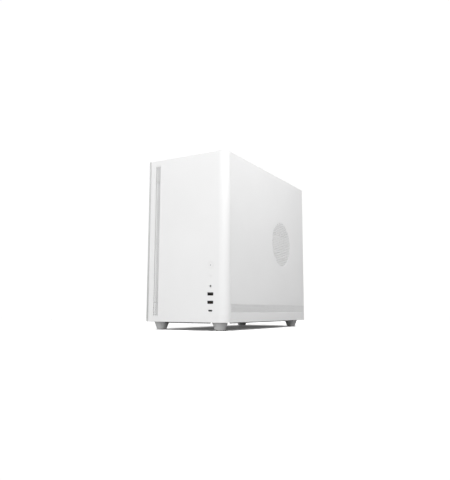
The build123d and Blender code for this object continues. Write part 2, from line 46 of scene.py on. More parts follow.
# ------------------------------------------------------------------ numbers from the CAD, mm
ZB, ZT = 17.0, 376.0
YF, YR = -215.5, 215.5
YP = YF + 20.0
Y_REAR = 207.5
Y_FRAME = -190.0
IO_X = 64.0
Z_POWER, Z_RESET, Z_AUDIO = 134.7, 112.1, 91.4
Z_USB_A1, Z_USB_A2, Z_USB_C = 75.2, 58.2, 41.2
X_TRAY, X_PCB, Z_PCB0, BOARD = 78.0, 70.0, 122.0, 244.0
PCB_Y0, PCB_Y1 = Y_REAR - 1.5 - BOARD, Y_REAR - 1.5
CPU_Y, CPU_Z = 100.0, 292.0
SLOT_Z = [130.5, 150.8, 171.1, 191.4]
GPU_Z = 191.4
RFX, RFZ = -33.0, 300.0
FFX, FFZ = -25.0, (182.0, 304.0)
CFX = -23.0
THUMB_X, THUMB_Z = 89.5, (60.0, 335.0)


# ------------------------------------------------------------------ mesh building
class M:
    """Collects vertices in mm and faces, with one material index each."""

    def __init__(self):
        self.v, self.f, self.mi = [], [], []

    def add(self, vs, fs, mi=0):
        o = len(self.v)
        self.v.extend(tuple(p) for p in vs)
        for f in fs:
            self.f.append([o + i for i in f])
            self.mi.append(mi)

    def xf(self, other, fn, mi=None):
        """Adds another M through a point function."""
        o = len(self.v)
        self.v.extend(tuple(fn(p)) for p in other.v)
        for f, k in zip(other.f, other.mi):
            self.f.append([o + i for i in f])
            self.mi.append(k if mi is None else mi)


def cbox(m, x0, x1, y0, y1, z0, z1, c=0.3, mi=0):
    """Box with chamfered edges."""
    lo = [min(x0, x1), min(y0, y1), min(z0, z1)]
    hi = [max(x0, x1), max(y0, y1), max(z0, z1)]
    c = min([c] + [0.45 * (hi[i] - lo[i]) for i in range(3)])
    vs, idx = [], {}
    for sx in (0, 1):
        for sy in (0, 1):
            for sz in (0, 1):
                s = (sx, sy, sz)
                for ax in range(3):
                    p = []
                    for i in range(3):
                        e = hi[i] if s[i] else lo[i]
                        if i != ax:
                            e += -c if s[i] else c
                        p.append(e)
                    idx[(sx, sy, sz, ax)] = len(vs)
                    vs.append(p)
    fs = []
    for ax in range(3):
        a, b = [i for i in range(3) if i != ax]
        for s in (0, 1):
            q = []
            for u, w in ((0, 0), (1, 0), (1, 1), (0, 1)):
                k = [0, 0, 0]
                k[ax], k[a], k[b] = s, u, w
                q.append(idx[(*k, ax)])
            fs.append(q)
        for u in (0, 1):
            for w in (0, 1):
                k0, k1 = [0, 0, 0], [0, 0, 0]
                k0[a], k0[b], k1[a], k1[b] = u, w, u, w
                k1[ax] = 1
                fs.append([idx[(*k0, a)], idx[(*k1, a)], idx[(*k1, b)], idx[(*k0, b)]])
    for sx in (0, 1):
        for sy in (0, 1):
            for sz in (0, 1):
                fs.append([idx[(sx, sy, sz, ax)] for ax in range(3)])
    m.add(vs, fs, mi)


def lathe(m, prof, n=32, ax="z", at=(0, 0, 0), mi=0, phase=0.0):
    """Turns (r, h) points about an axis through `at`. r 0 closes on the axis."""
    vs, rings = [], []
    for r, h in prof:
        if r < 1e-6:
            rings.append([len(vs)])
            vs.append((0, 0, h))
        else:
            o = len(vs)
            for k in range(n):
                a = 2 * math.pi * k / n + phase
                vs.append((r * math.cos(a), r * math.sin(a), h))
            rings.append(list(range(o, o + n)))
    fs = []
    for p, q in zip(rings, rings[1:]):
        if len(p) == 1 and len(q) == 1:
            continue
        if len(p) == 1:
            fs += [[p[0], q[k], q[(k + 1) % n]] for k in range(n)]
        elif len(q) == 1:
            fs += [[p[k], p[(k + 1) % n], q[0]] for k in range(n)]
        else:
            fs += [[p[k], p[(k + 1) % n], q[(k + 1) % n], q[k]] for k in range(n)]
    if ax == "x":
        vs = [(p[2] + at[0], p[0] + at[1], p[1] + at[2]) for p in vs]
    elif ax == "y":
        vs = [(p[1] + at[0], p[2] + at[1], p[0] + at[2]) for p in vs]
    else:
        vs = [(p[0] + at[0], p[1] + at[1], p[2] + at[2]) for p in vs]
    m.add(vs, fs, mi)


def rod(m, r, a0, a1, ax, at, c=0.2, n=24, mi=0):
    """Solid cylinder with chamfered rims. `at` gives the other two coordinates in x, y, z order."""
    c = min(c, 0.4 * r, 0.4 * abs(a1 - a0))
    p3 = {"x": (0, at[0], at[1]), "y": (at[0], 0, at[1]), "z": (at[0], at[1], 0)}[ax]
    lathe(m, [(0, a0), (r - c, a0), (r, a0 + c), (r, a1 - c), (r - c, a1), (0, a1)], n, ax, p3, mi)


def ringwall(m, ri, ro, a0, a1, ax, at, c=0.3, n=48, mi=0):
    p3 = {"x": (0, at[0], at[1]), "y": (at[0], 0, at[1]), "z": (at[0], at[1], 0)}[ax]
    prof = [(ri, a0 + c), (ri + c, a0), (ro - c, a0), (ro, a0 + c), (ro, a1 - c), (ro - c, a1), (ri + c, a1), (ri, a1 - c), (ri, a0 + c)]
    lathe(m, prof, n, ax, p3, mi)


def fillet_path(pts, radii, step=6.0):
    """Straight runs joined by tangent arcs, as points."""
    pts = [Vector(p) for p in pts]
    out = [pts[0]]
    for i in range(1, len(pts) - 1):
        a, b, c = pts[i - 1], pts[i], pts[i + 1]
        u, w = (a - b).normalized(), (c - b).normalized()
        ang = u.angle(w)
        r = radii[i - 1]
        t = r / math.tan(ang / 2)
        p0, p1 = b + u * t, b + w * t
        cen = b + (u + w).normalized() * (r / math.sin(ang / 2))
        n = max(4, int((math.pi - ang) / math.radians(11)))
        e0, e1 = (p0 - cen), (p1 - cen)
        tot = e0.angle(e1)
        for k in range(n + 1):
            f = k / n
            d = (e0 * math.sin((1 - f) * tot) + e1 * math.sin(f * tot)) / math.sin(tot)
            out.append(cen + d)
    out.append(pts[-1])
    res = [out[0]]
    for p in out[1:]:
        d = (p - res[-1]).length
        if d < 1e-4:
            continue
        k = max(1, int(d / step))
        q = res[-1].copy()
        for j in range(1, k + 1):
            res.append(q.lerp(p, j / k))
    return res


def frames(path, up=Vector((0, 0, 1))):
    """Parallel-transport frames along a path: (point, side, up)."""
    out = []
    t = (path[1] - path[0]).normalized()
    s = t.cross(up)
    if s.length < 1e-3:
        s = t.cross(Vector((0, 1, 0)))
    s.normalize()
    u = s.cross(t)
    prev = t
    for i, p in enumerate(path):
        if i == 0:
            t = (path[1] - path[0]).normalized()
        elif i == len(path) - 1:
            t = (path[-1] - path[-2]).normalized()
        else:
            t = ((path[i + 1] - p).normalized() + (p - path[i - 1]).normalized()).normalized()
        q = prev.rotation_difference(t)
        s = q @ s
        u = q @ u
        prev = t
        out.append((p, s.copy(), u.copy()))
    return out


def pipe(m, path, r, n=12, mi=0, caps=True):
    fr = frames(path)
    vs = []
    for p, s, u in fr:
        for k in range(n):
            a = 2 * math.pi * k / n
            vs.append(p + s * (r * math.cos(a)) + u * (r * math.sin(a)))
    fs = []
    for i in range(len(fr) - 1):
        for k in range(n):
            fs.append([i * n + k, i * n + (k + 1) % n, (i + 1) * n + (k + 1) % n, (i + 1) * n + k])
    if caps:
        fs.append(list(range(n - 1, -1, -1)))
        fs.append([(len(fr) - 1) * n + k for k in range(n)])
    m.add(vs, fs, mi)


def loop(s, off=0.0):
    """Points of a closed 2-D shape grown by off."""
    k = s[0]
    if k == "c":
        _, cx, cy, r, n, ph = s
        r += off
        return [(cx + r * math.cos(ph + 2 * math.pi * i / n), cy + r * math.sin(ph + 2 * math.pi * i / n)) for i in range(n)]
    if k == "r":
        _, x0, x1, y0, y1, r, n = s
        x0, x1, y0, y1 = x0 - off, x1 + off, y0 - off, y1 + off
        if r <= 0:
            return [(x0, y0), (x1, y0), (x1, y1), (x0, y1)]
        r = max(r + off, 0.02)
        pts = []
        for cx, cy, a0 in ((x1 - r, y0 + r, -90), (x1 - r, y1 - r, 0), (x0 + r, y1 - r, 90), (x0 + r, y0 + r, 180)):
            for i in range(n + 1):
                a = math.radians(a0 + 90 * i / n)
                pts.append((cx + r * math.cos(a), cy + r * math.sin(a)))
        return pts
    raise ValueError(k)


def C(cx, cy, r, n=12, ph=0.0):
    return ("c", cx, cy, r, n, ph)


def R(x0, x1, y0, y1, r=0.0, n=4):
    return ("r", x0, x1, y0, y1, r, n)


def inside(pt, poly):
    x, y = pt
    r = False
    j = len(poly) - 1
    for i in range(len(poly)):
        xi, yi = poly[i]
        xj, yj = poly[j]
        if (yi > y) != (yj > y) and x < (xj - xi) * (y - yi) / (yj - yi) + xi:
            r = not r
        j = i
    return r


def tri_fill(outer, holes):
    vs, fs, own = [], [], []
    for k, l in enumerate([outer] + holes):
        o = len(vs)
        vs.extend(Vector(p) for p in l)
        own.extend([k] * len(l))
        fs.append(list(range(o, o + len(l))))
    rv, re, rf, ov, oe, of_ = delaunay_2d_cdt(vs, [], fs, 0, 1e-7, True)
    orig = [o[0] if o else None for o in ov]
    tris = []
    loops = [outer] + holes
    for t in rf:
        ids = [orig[i] for i in t]
        if any(i is None for i in ids):
            continue
        ks = {own[i] for i in ids}
        if len(ks) == 1:
            k = ks.pop()
            cx = sum(vs[i].x for i in ids) / len(ids)
            cy = sum(vs[i].y for i in ids) / len(ids)
            ins = inside((cx, cy), loops[k])
            if (k > 0 and ins) or (k == 0 and not ins):
                continue
        tris.append(ids)
    return tris


def plate(m, outer, holes, w0, w1, c=0.15, fn=None, mi=0):
    """Sheet with real holes and chamfered rims. fn maps (u, v, w) to (x, y, z)."""
    fn = fn or (lambda u, v, w: (u, v, w))
    shapes = [(outer, -1)] + [(h, 1) for h in holes]
    inner = [loop(s, sg * c) for s, sg in shapes]
    rim = [loop(s, 0.0) for s, _ in shapes]
    tris = tri_fill(inner[0], inner[1:])
    flat = [p for l in inner for p in l]
    n = len(flat)
    rimf = [p for l in rim for p in l]
    vs = [fn(u, v, w1) for u, v in flat] + [fn(u, v, w0) for u, v in flat]
    vs += [fn(u, v, w1 - c) for u, v in rimf] + [fn(u, v, w0 + c) for u, v in rimf]
    fs = [list(t) for t in tris] + [[i + n for i in reversed(t)] for t in tris]
    o = 0
    for l in inner:
        k = len(l)
        for i in range(k):
            a, b = o + i, o + (i + 1) % k
            fs.append([a, b, 2 * n + b, 2 * n + a])
            fs.append([2 * n + a, 2 * n + b, 3 * n + b, 3 * n + a])
            fs.append([3 * n + a, 3 * n + b, n + b, n + a])
        o += k
    m.add(vs, fs, mi)


FN_XZ = lambda y0: (lambda u, v, w: (u, y0 + w, v))      # sheet facing -Y / +Y
FN_YZ = lambda x0: (lambda u, v, w: (x0 + w, u, v))      # sheet facing X
FN_XY = lambda z0: (lambda u, v, w: (u, v, z0 + w))      # sheet facing Z


def make(m, name, mats, body="chassis", nodes=(), smooth=30, wn=False, bevel=0.0, seg=2, merge=False):
    me = bpy.data.meshes.new(name)
    me.from_pydata([(x * MM, y * MM, z * MM) for x, y, z in m.v], [], m.f)
    if not isinstance(mats, (list, tuple)):
        mats = [mats]
    for t in mats:
        me.materials.append(t)
    me.polygons.foreach_set("material_index", m.mi)
    bm = bmesh.new()
    bm.from_mesh(me)
    if merge:
        bmesh.ops.remove_doubles(bm, verts=bm.verts, dist=2e-6)
    bmesh.ops.recalc_face_normals(bm, faces=bm.faces)
    bm.to_mesh(me)
    bm.free()
    me.polygons.foreach_set("use_smooth", [True] * len(me.polygons))
    me.set_sharp_from_angle(angle=math.radians(smooth))
    ob = bpy.data.objects.new(name, me)
    bpy.context.scene.collection.objects.link(ob)
    if bevel:
        b = ob.modifiers.new("bevel", "BEVEL")
        b.width, b.segments, b.limit_method, b.angle_limit = bevel * MM, seg, "ANGLE", math.radians(40)
        b.harden_normals = False
    if wn:
        w = ob.modifiers.new("wn", "WEIGHTED_NORMAL")
        w.keep_sharp = True
        w.weight = 100
    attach(ob, body)
    if nodes:
        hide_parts(*nodes)
    return ob


# ------------------------------------------------------------------ materials
def nodes_of(name):
    mt = bpy.data.materials.new(name)
    mt.use_nodes = True
    nt = mt.node_tree
    b = nt.nodes["Principled BSDF"]
    return mt, nt, b


def mat(name, col, rough=0.5, metal=0.0, var=0.03, vscale=25.0, bump=0.06, bscale=900.0, rvar=0.06, spec=0.5,
        coat=0.0, stretch=None, painted_shade=0.0, spot=0.0, transmission=0.0, ior=1.5, emit=None, estr=0.0, bdist=0.0004):
    """Procedural surface: mottled colour, varied roughness, fine grain, and painted shade that darkens corners and
    recesses.
    """
    mt, nt, b = nodes_of(name)
    N, L = nt.nodes, nt.links
    tc = N.new("ShaderNodeTexCoord")
    src = tc.outputs["Object"]
    if stretch:
        mp = N.new("ShaderNodeMapping")
        mp.inputs["Scale"].default_value = stretch
        L.new(src, mp.inputs["Vector"])
        fine_src = mp.outputs["Vector"]
    else:
        fine_src = src
    big = N.new("ShaderNodeTexNoise")
    big.inputs["Scale"].default_value = vscale
    big.inputs["Detail"].default_value = 4
    L.new(src, big.inputs["Vector"])
    fine = N.new("ShaderNodeTexNoise")
    fine.inputs["Scale"].default_value = bscale
    fine.inputs["Detail"].default_value = 3
    L.new(fine_src, fine.inputs["Vector"])
    cr = N.new("ShaderNodeMapRange")
    cr.inputs["From Min"].default_value, cr.inputs["From Max"].default_value = 0.3, 0.7
    cr.inputs["To Min"].default_value, cr.inputs["To Max"].default_value = 1 - var, 1 + var
    L.new(big.outputs["Fac"], cr.inputs["Value"])
    mix = N.new("ShaderNodeMix")
    mix.data_type, mix.blend_type = "RGBA", "MULTIPLY"
    mix.inputs["Factor"].default_value = 1.0
    mix.inputs["A"].default_value = (*col, 1)
    comb = N.new("ShaderNodeCombineColor")
    for k in ("Red", "Green", "Blue"):
        L.new(cr.outputs["Result"], comb.inputs[k])
    L.new(comb.outputs["Color"], mix.inputs["B"])
    out = mix.outputs["Result"]
    # painted shade: colour darkens towards a dimmer copy where ambient occlusion finds corners, recesses and nearby
    # parts
    if painted_shade > 0:
        ao = N.new("ShaderNodeAmbientOcclusion")
        ao.samples = 4
        ao.inputs["Distance"].default_value = 0.006
        m2 = N.new("ShaderNodeMix")
        m2.data_type = "RGBA"
        r2 = N.new("ShaderNodeMapRange")
        r2.inputs["From Min"].default_value, r2.inputs["From Max"].default_value = 0.35, 0.95
        r2.inputs["To Min"].default_value, r2.inputs["To Max"].default_value = painted_shade, 0.0
        L.new(ao.outputs["AO"], r2.inputs["Value"])
        L.new(r2.outputs["Result"], m2.inputs["Factor"])
        L.new(out, m2.inputs["A"])
        m2.inputs["B"].default_value = (col[0] * 0.45, col[1] * 0.44, col[2] * 0.42, 1)
        out = m2.outputs["Result"]
    if spot > 0:
        sp = N.new("ShaderNodeTexVoronoi")
        sp.inputs["Scale"].default_value = bscale * 0.7
        L.new(src, sp.inputs["Vector"])
        r3 = N.new("ShaderNodeMapRange")
        r3.inputs["From Min"].default_value, r3.inputs["From Max"].default_value = 0.05, 0.18
        r3.inputs["To Min"].default_value, r3.inputs["To Max"].default_value = spot, 0.0
        L.new(sp.outputs["Distance"], r3.inputs["Value"])
        m3 = N.new("ShaderNodeMix")
        m3.data_type = "RGBA"
        L.new(r3.outputs["Result"], m3.inputs["Factor"])
        L.new(out, m3.inputs["A"])
        m3.inputs["B"].default_value = (min(1, col[0] * 1.5 + 0.1), min(1, col[1] * 1.5 + 0.1), min(1, col[2] * 1.5 + 0.1), 1)
        out = m3.outputs["Result"]
    L.new(out, b.inputs["Base Color"])
    rr = N.new("ShaderNodeMapRange")
    rr.inputs["From Min"].default_value, rr.inputs["From Max"].default_value = 0.3, 0.7
    rr.inputs["To Min"].default_value, rr.inputs["To Max"].default_value = max(0.02, rough - rvar), min(1, rough + rvar)
    L.new(fine.outputs["Fac"], rr.inputs["Value"])
    L.new(rr.outputs["Result"], b.inputs["Roughness"])
    bp = N.new("ShaderNodeBump")
    bp.inputs["Strength"].default_value = bump
    bp.inputs["Distance"].default_value = bdist
    L.new(fine.outputs["Fac"], bp.inputs["Height"])
    L.new(bp.outputs["Normal"], b.inputs["Normal"])
    b.inputs["Metallic"].default_value = metal
    b.inputs["Specular IOR Level"].default_value = spec
    b.inputs["Coat Weight"].default_value = coat
    b.inputs["IOR"].default_value = ior
    if transmission:
        b.inputs["Transmission Weight"].default_value = transmission
    if emit:
        b.inputs["Emission Color"].default_value = (*emit, 1)
        b.inputs["Emission Strength"].default_value = estr
    return mt


def glass_mat(name, tint, gloss=0.02, base=0.04):
    """Pane that lets light straight through and mirrors by angle."""
    mt = bpy.data.materials.new(name)
    mt.use_nodes = True
    nt = mt.node_tree
    N, L = nt.nodes, nt.links
    N.remove(N["Principled BSDF"])
    out = N["Material Output"]
    tr = N.new("ShaderNodeBsdfTransparent")
    gl = N.new("ShaderNodeBsdfGlossy")
    gl.inputs["Roughness"].default_value = gloss
    gl.inputs["Color"].default_value = (1, 1, 1, 1)
    tc = N.new("ShaderNodeTexCoord")
    ns = N.new("ShaderNodeTexNoise")
    ns.inputs["Scale"].default_value = 14.0
    ns.inputs["Detail"].default_value = 5
    L.new(tc.outputs["Object"], ns.inputs["Vector"])
    mr = N.new("ShaderNodeMapRange")
    mr.inputs["From Min"].default_value, mr.inputs["From Max"].default_value = 0.3, 0.7
    mr.inputs["To Min"].default_value, mr.inputs["To Max"].default_value = 0.97, 1.0
    L.new(ns.outputs["Fac"], mr.inputs["Value"])
    mx = N.new("ShaderNodeMix")
    mx.data_type, mx.blend_type = "RGBA", "MULTIPLY"
    mx.inputs["Factor"].default_value = 1.0
    mx.inputs["A"].default_value = (*tint, 1)
    cc = N.new("ShaderNodeCombineColor")
    for k in ("Red", "Green", "Blue"):
        L.new(mr.outputs["Result"], cc.inputs[k])
    L.new(cc.outputs["Color"], mx.inputs["B"])
    L.new(mx.outputs["Result"], tr.inputs["Color"])
    # mirror share by angle, the same from both sides of a face
    lw = N.new("ShaderNodeLayerWeight")
    lw.inputs["Blend"].default_value = 0.5
    pw = N.new("ShaderNodeMath")
    pw.operation = "POWER"
    pw.inputs[1].default_value = 5.0
    L.new(lw.outputs["Facing"], pw.inputs[0])
    fr = N.new("ShaderNodeMath")
    fr.operation = "MULTIPLY_ADD"
    fr.inputs[1].default_value, fr.inputs[2].default_value = 1.0 - base, base
    L.new(pw.outputs[0], fr.inputs[0])
    sh = N.new("ShaderNodeMixShader")
    L.new(fr.outputs[0], sh.inputs["Fac"])
    L.new(tr.outputs["BSDF"], sh.inputs[1])
    L.new(gl.outputs["BSDF"], sh.inputs[2])
    L.new(sh.outputs["Shader"], out.inputs["Surface"])
    return mt


def pcb_mat(name, col, trace):
    """Solder mask over copper: routed lines, vias and slight sheen."""
    mt, nt, b = nodes_of(name)
    N, L = nt.nodes, nt.links
    tc = N.new("ShaderNodeTexCoord")
    vor = N.new("ShaderNodeTexVoronoi")
    vor.distance = "MANHATTAN"
    vor.inputs["Scale"].default_value = 60.0
    L.new(tc.outputs["Object"], vor.inputs["Vector"])
    mul = N.new("ShaderNodeMath")
    mul.operation = "MULTIPLY"
    mul.inputs[1].default_value = 11.0
    L.new(vor.outputs["Distance"], mul.inputs[0])
    fr = N.new("ShaderNodeMath")
    fr.operation = "FRACT"
    L.new(mul.outputs[0], fr.inputs[0])
    gt = N.new("ShaderNodeMapRange")
    gt.inputs["From Min"].default_value, gt.inputs["From Max"].default_value = 0.60, 0.70
    L.new(fr.outputs[0], gt.inputs["Value"])
    v2 = N.new("ShaderNodeTexVoronoi")
    v2.inputs["Scale"].default_value = 260.0
    L.new(tc.outputs["Object"], v2.inputs["Vector"])
    via = N.new("ShaderNodeMapRange")
    via.inputs["From Min"].default_value, via.inputs["From Max"].default_value = 0.10, 0.14
    via.inputs["To Min"].default_value, via.inputs["To Max"].default_value = 0.7, 0.0
    L.new(v2.outputs["Distance"], via.inputs["Value"])
    m1 = N.new("ShaderNodeMix")
    m1.data_type = "RGBA"
    m1.inputs["A"].default_value = (*col, 1)
    m1.inputs["B"].default_value = (*trace, 1)
    L.new(gt.outputs["Result"], m1.inputs["Factor"])
    m2 = N.new("ShaderNodeMix")
    m2.data_type = "RGBA"
    m2.inputs["B"].default_value = (0.35, 0.30, 0.20, 1)
    L.new(m1.outputs["Result"], m2.inputs["A"])
    L.new(via.outputs["Result"], m2.inputs["Factor"])
    L.new(m2.outputs["Result"], b.inputs["Base Color"])
    bp = N.new("ShaderNodeBump")
    bp.inputs["Strength"].default_value = 0.25
    bp.inputs["Distance"].default_value = 0.0002
    L.new(gt.outputs["Result"], bp.inputs["Height"])
    L.new(bp.outputs["Normal"], b.inputs["Normal"])
    ns = N.new("ShaderNodeTexNoise")
    ns.inputs["Scale"].default_value = 40.0
    L.new(tc.outputs["Object"], ns.inputs["Vector"])
    rr = N.new("ShaderNodeMapRange")
    rr.inputs["To Min"].default_value, rr.inputs["To Max"].default_value = 0.32, 0.5
    L.new(ns.outputs["Fac"], rr.inputs["Value"])
    L.new(rr.outputs["Result"], b.inputs["Roughness"])
    return mt


def sleeve_mat(name, col):
    """Braided sleeve: two crossing diagonal ridges, with painted shade darkening the low parts between them."""
    mt, nt, b = nodes_of(name)
    N, L = nt.nodes, nt.links
    tc = N.new("ShaderNodeTexCoord")
    hs = []
    for rot in (0.7, -0.7):
        mp = N.new("ShaderNodeMapping")
        mp.inputs["Rotation"].default_value = (rot, rot * 0.8, rot * 1.1)
        L.new(tc.outputs["Object"], mp.inputs["Vector"])
        w = N.new("ShaderNodeTexWave")
        w.inputs["Scale"].default_value = 260.0
        w.inputs["Distortion"].default_value = 0.4
        L.new(mp.outputs["Vector"], w.inputs["Vector"])
        hs.append(w.outputs["Fac"])
    mul = N.new("ShaderNodeMath")
    mul.operation = "MULTIPLY"
    L.new(hs[0], mul.inputs[0])
    L.new(hs[1], mul.inputs[1])
    bp = N.new("ShaderNodeBump")
    bp.inputs["Strength"].default_value = 0.7
    bp.inputs["Distance"].default_value = 0.0004
    L.new(mul.outputs[0], bp.inputs["Height"])
    L.new(bp.outputs["Normal"], b.inputs["Normal"])
    # painted shade: colour drops to 0.6 of the yarn colour in the low parts of the weave, following the bump height
    mx = N.new("ShaderNodeMix")
    mx.data_type = "RGBA"
    mx.inputs["A"].default_value = (col[0] * 0.6, col[1] * 0.6, col[2] * 0.6, 1)
    mx.inputs["B"].default_value = (*col, 1)
    L.new(mul.outputs[0], mx.inputs["Factor"])
    L.new(mx.outputs["Result"], b.inputs["Base Color"])
    b.inputs["Roughness"].default_value = 0.75
    b.inputs["Sheen Weight"].default_value = 0.25
    return mt


# POWDER_IN, PLAST_W2, FOOT, STEEL_B and ALU_W get painted shade: their colour darkens in corners, recesses and under
# nearby parts
W = 0.80
POWDER = mat("powder_coat_white", (W, W, W), rough=0.46, var=0.012, vscale=9, bump=0.10, bscale=1500, rvar=0.05, spec=0.45, bdist=0.0002)
POWDER_IN = mat("powder_coat_white_inside", (0.76, 0.76, 0.76), rough=0.5, var=0.02, vscale=14, bump=0.12, bscale=1500, rvar=0.05, spec=0.4, painted_shade=0.25, bdist=0.0002)
PLAST_W = mat("plastic_white", (0.78, 0.78, 0.78), rough=0.42, var=0.015, vscale=30, bump=0.08, bscale=2200, rvar=0.05, bdist=0.00015)
PLAST_W2 = mat("plastic_white_fan", (0.74, 0.745, 0.75), rough=0.38, var=0.02, vscale=30, bump=0.05, bscale=1800, rvar=0.05, painted_shade=0.2, bdist=0.00015)
FOOT = mat("foot_grey_plastic", (0.72, 0.72, 0.72), rough=0.5, var=0.04, vscale=60, bump=0.14, bscale=1600, rvar=0.07, painted_shade=0.3, bdist=0.0002)
RUB = mat("rubber_dark", (0.06, 0.06, 0.06), rough=0.8, var=0.1, vscale=90, bump=0.25, bscale=1400, rvar=0.08, spec=0.3)
PLAST_B = mat("plastic_black", (0.018, 0.018, 0.019), rough=0.42, var=0.1, vscale=60, bump=0.1, bscale=1900, rvar=0.07, bdist=0.00015)
PLAST_G = mat("plastic_dark_grey", (0.09, 0.09, 0.095), rough=0.45, var=0.08, vscale=60, bump=0.1, bscale=1900, rvar=0.07, bdist=0.00015)
STEEL_B = mat("steel_black_coated", (0.022, 0.022, 0.024), rough=0.5, var=0.08, vscale=20, bump=0.12, bscale=1500, rvar=0.06, painted_shade=0.1, bdist=0.0002)
STEEL = mat("steel_tinned", (0.56, 0.56, 0.57), rough=0.3, metal=1.0, var=0.06, vscale=60, bump=0.1, bscale=500, rvar=0.1, stretch=(1, 1, 8))
ZINC = mat("zinc_plated", (0.60, 0.60, 0.61), rough=0.3, metal=1.0, var=0.1, vscale=150, bump=0.1, bscale=900, rvar=0.1)
NICKEL = mat("nickel_plate", (0.66, 0.64, 0.61), rough=0.16, metal=1.0, var=0.04, vscale=60, bump=0.04, bscale=600, rvar=0.05)
ALU = mat("aluminium_satin", (0.74, 0.745, 0.75), rough=0.34, metal=1.0, var=0.04, vscale=40, bump=0.12, bscale=260, rvar=0.08, stretch=(1, 14, 1))
ALU_W = mat("aluminium_white_paint", (0.76, 0.765, 0.77), rough=0.42, var=0.02, vscale=40, bump=0.1, bscale=1300, rvar=0.06, painted_shade=0.25, bdist=0.0002)
GOLD = mat("gold_contact", (0.80, 0.58, 0.25), rough=0.25, metal=1.0, var=0.05, vscale=200, bump=0.05, bscale=900, rvar=0.06)
BRASS = mat("brass_pin", (0.70, 0.62, 0.42), rough=0.28, metal=1.0, var=0.08, vscale=200, bump=0.05, bscale=900, rvar=0.08)
PCB = pcb_mat("board_black_mask", (0.012, 0.013, 0.015), (0.035, 0.038, 0.042))
CHIP = mat("chip_epoxy", (0.022, 0.022, 0.023), rough=0.5, var=0.1, vscale=120, bump=0.12, bscale=2500, rvar=0.08)
CAPM = mat("capacitor_sleeve", (0.55, 0.56, 0.58), rough=0.3, metal=0.9, var=0.05, vscale=150, bump=0.05, bscale=900)
BLUE = mat("socket_tongue_blue", (0.015, 0.12, 0.42), rough=0.4, var=0.05, vscale=100, bump=0.05, bscale=1500)
GREEN = mat("jack_green", (0.10, 0.42, 0.12), rough=0.4, var=0.05, vscale=100, bump=0.05, bscale=1500)
PINK = mat("jack_pink", (0.62, 0.20, 0.28), rough=0.4, var=0.05, vscale=100, bump=0.05, bscale=1500)
SLV_W = sleeve_mat("sleeve_white", (0.70, 0.70, 0.70))
SLV_B = sleeve_mat("sleeve_black", (0.03, 0.03, 0.03))
STEEL_K = mat("steel_black_nickel", (0.045, 0.045, 0.048), rough=0.4, metal=0.8, var=0.06, vscale=60, bump=0.08, bscale=700, rvar=0.08)
MESHM = mat("filter_wire", (0.62, 0.62, 0.62), rough=0.6, var=0.05, vscale=60, bump=0.1, bscale=1500)
GLASS = glass_mat("tempered_glass", (0.93, 0.937, 0.934))
FRIT = mat("glass_border_print", (0.72, 0.72, 0.72), rough=0.3, var=0.02, vscale=30, bump=0.03, bscale=1500, coat=0.3)
GEDGE = mat("glass_ground_edge", (0.52, 0.525, 0.52), rough=0.35, var=0.03, vscale=60, bump=0.1, bscale=900, coat=0.4)
LENS = mat("led_lens", (0.16, 0.17, 0.18), rough=0.15, var=0.03, vscale=200, bump=0.02, bscale=900, coat=0.5)


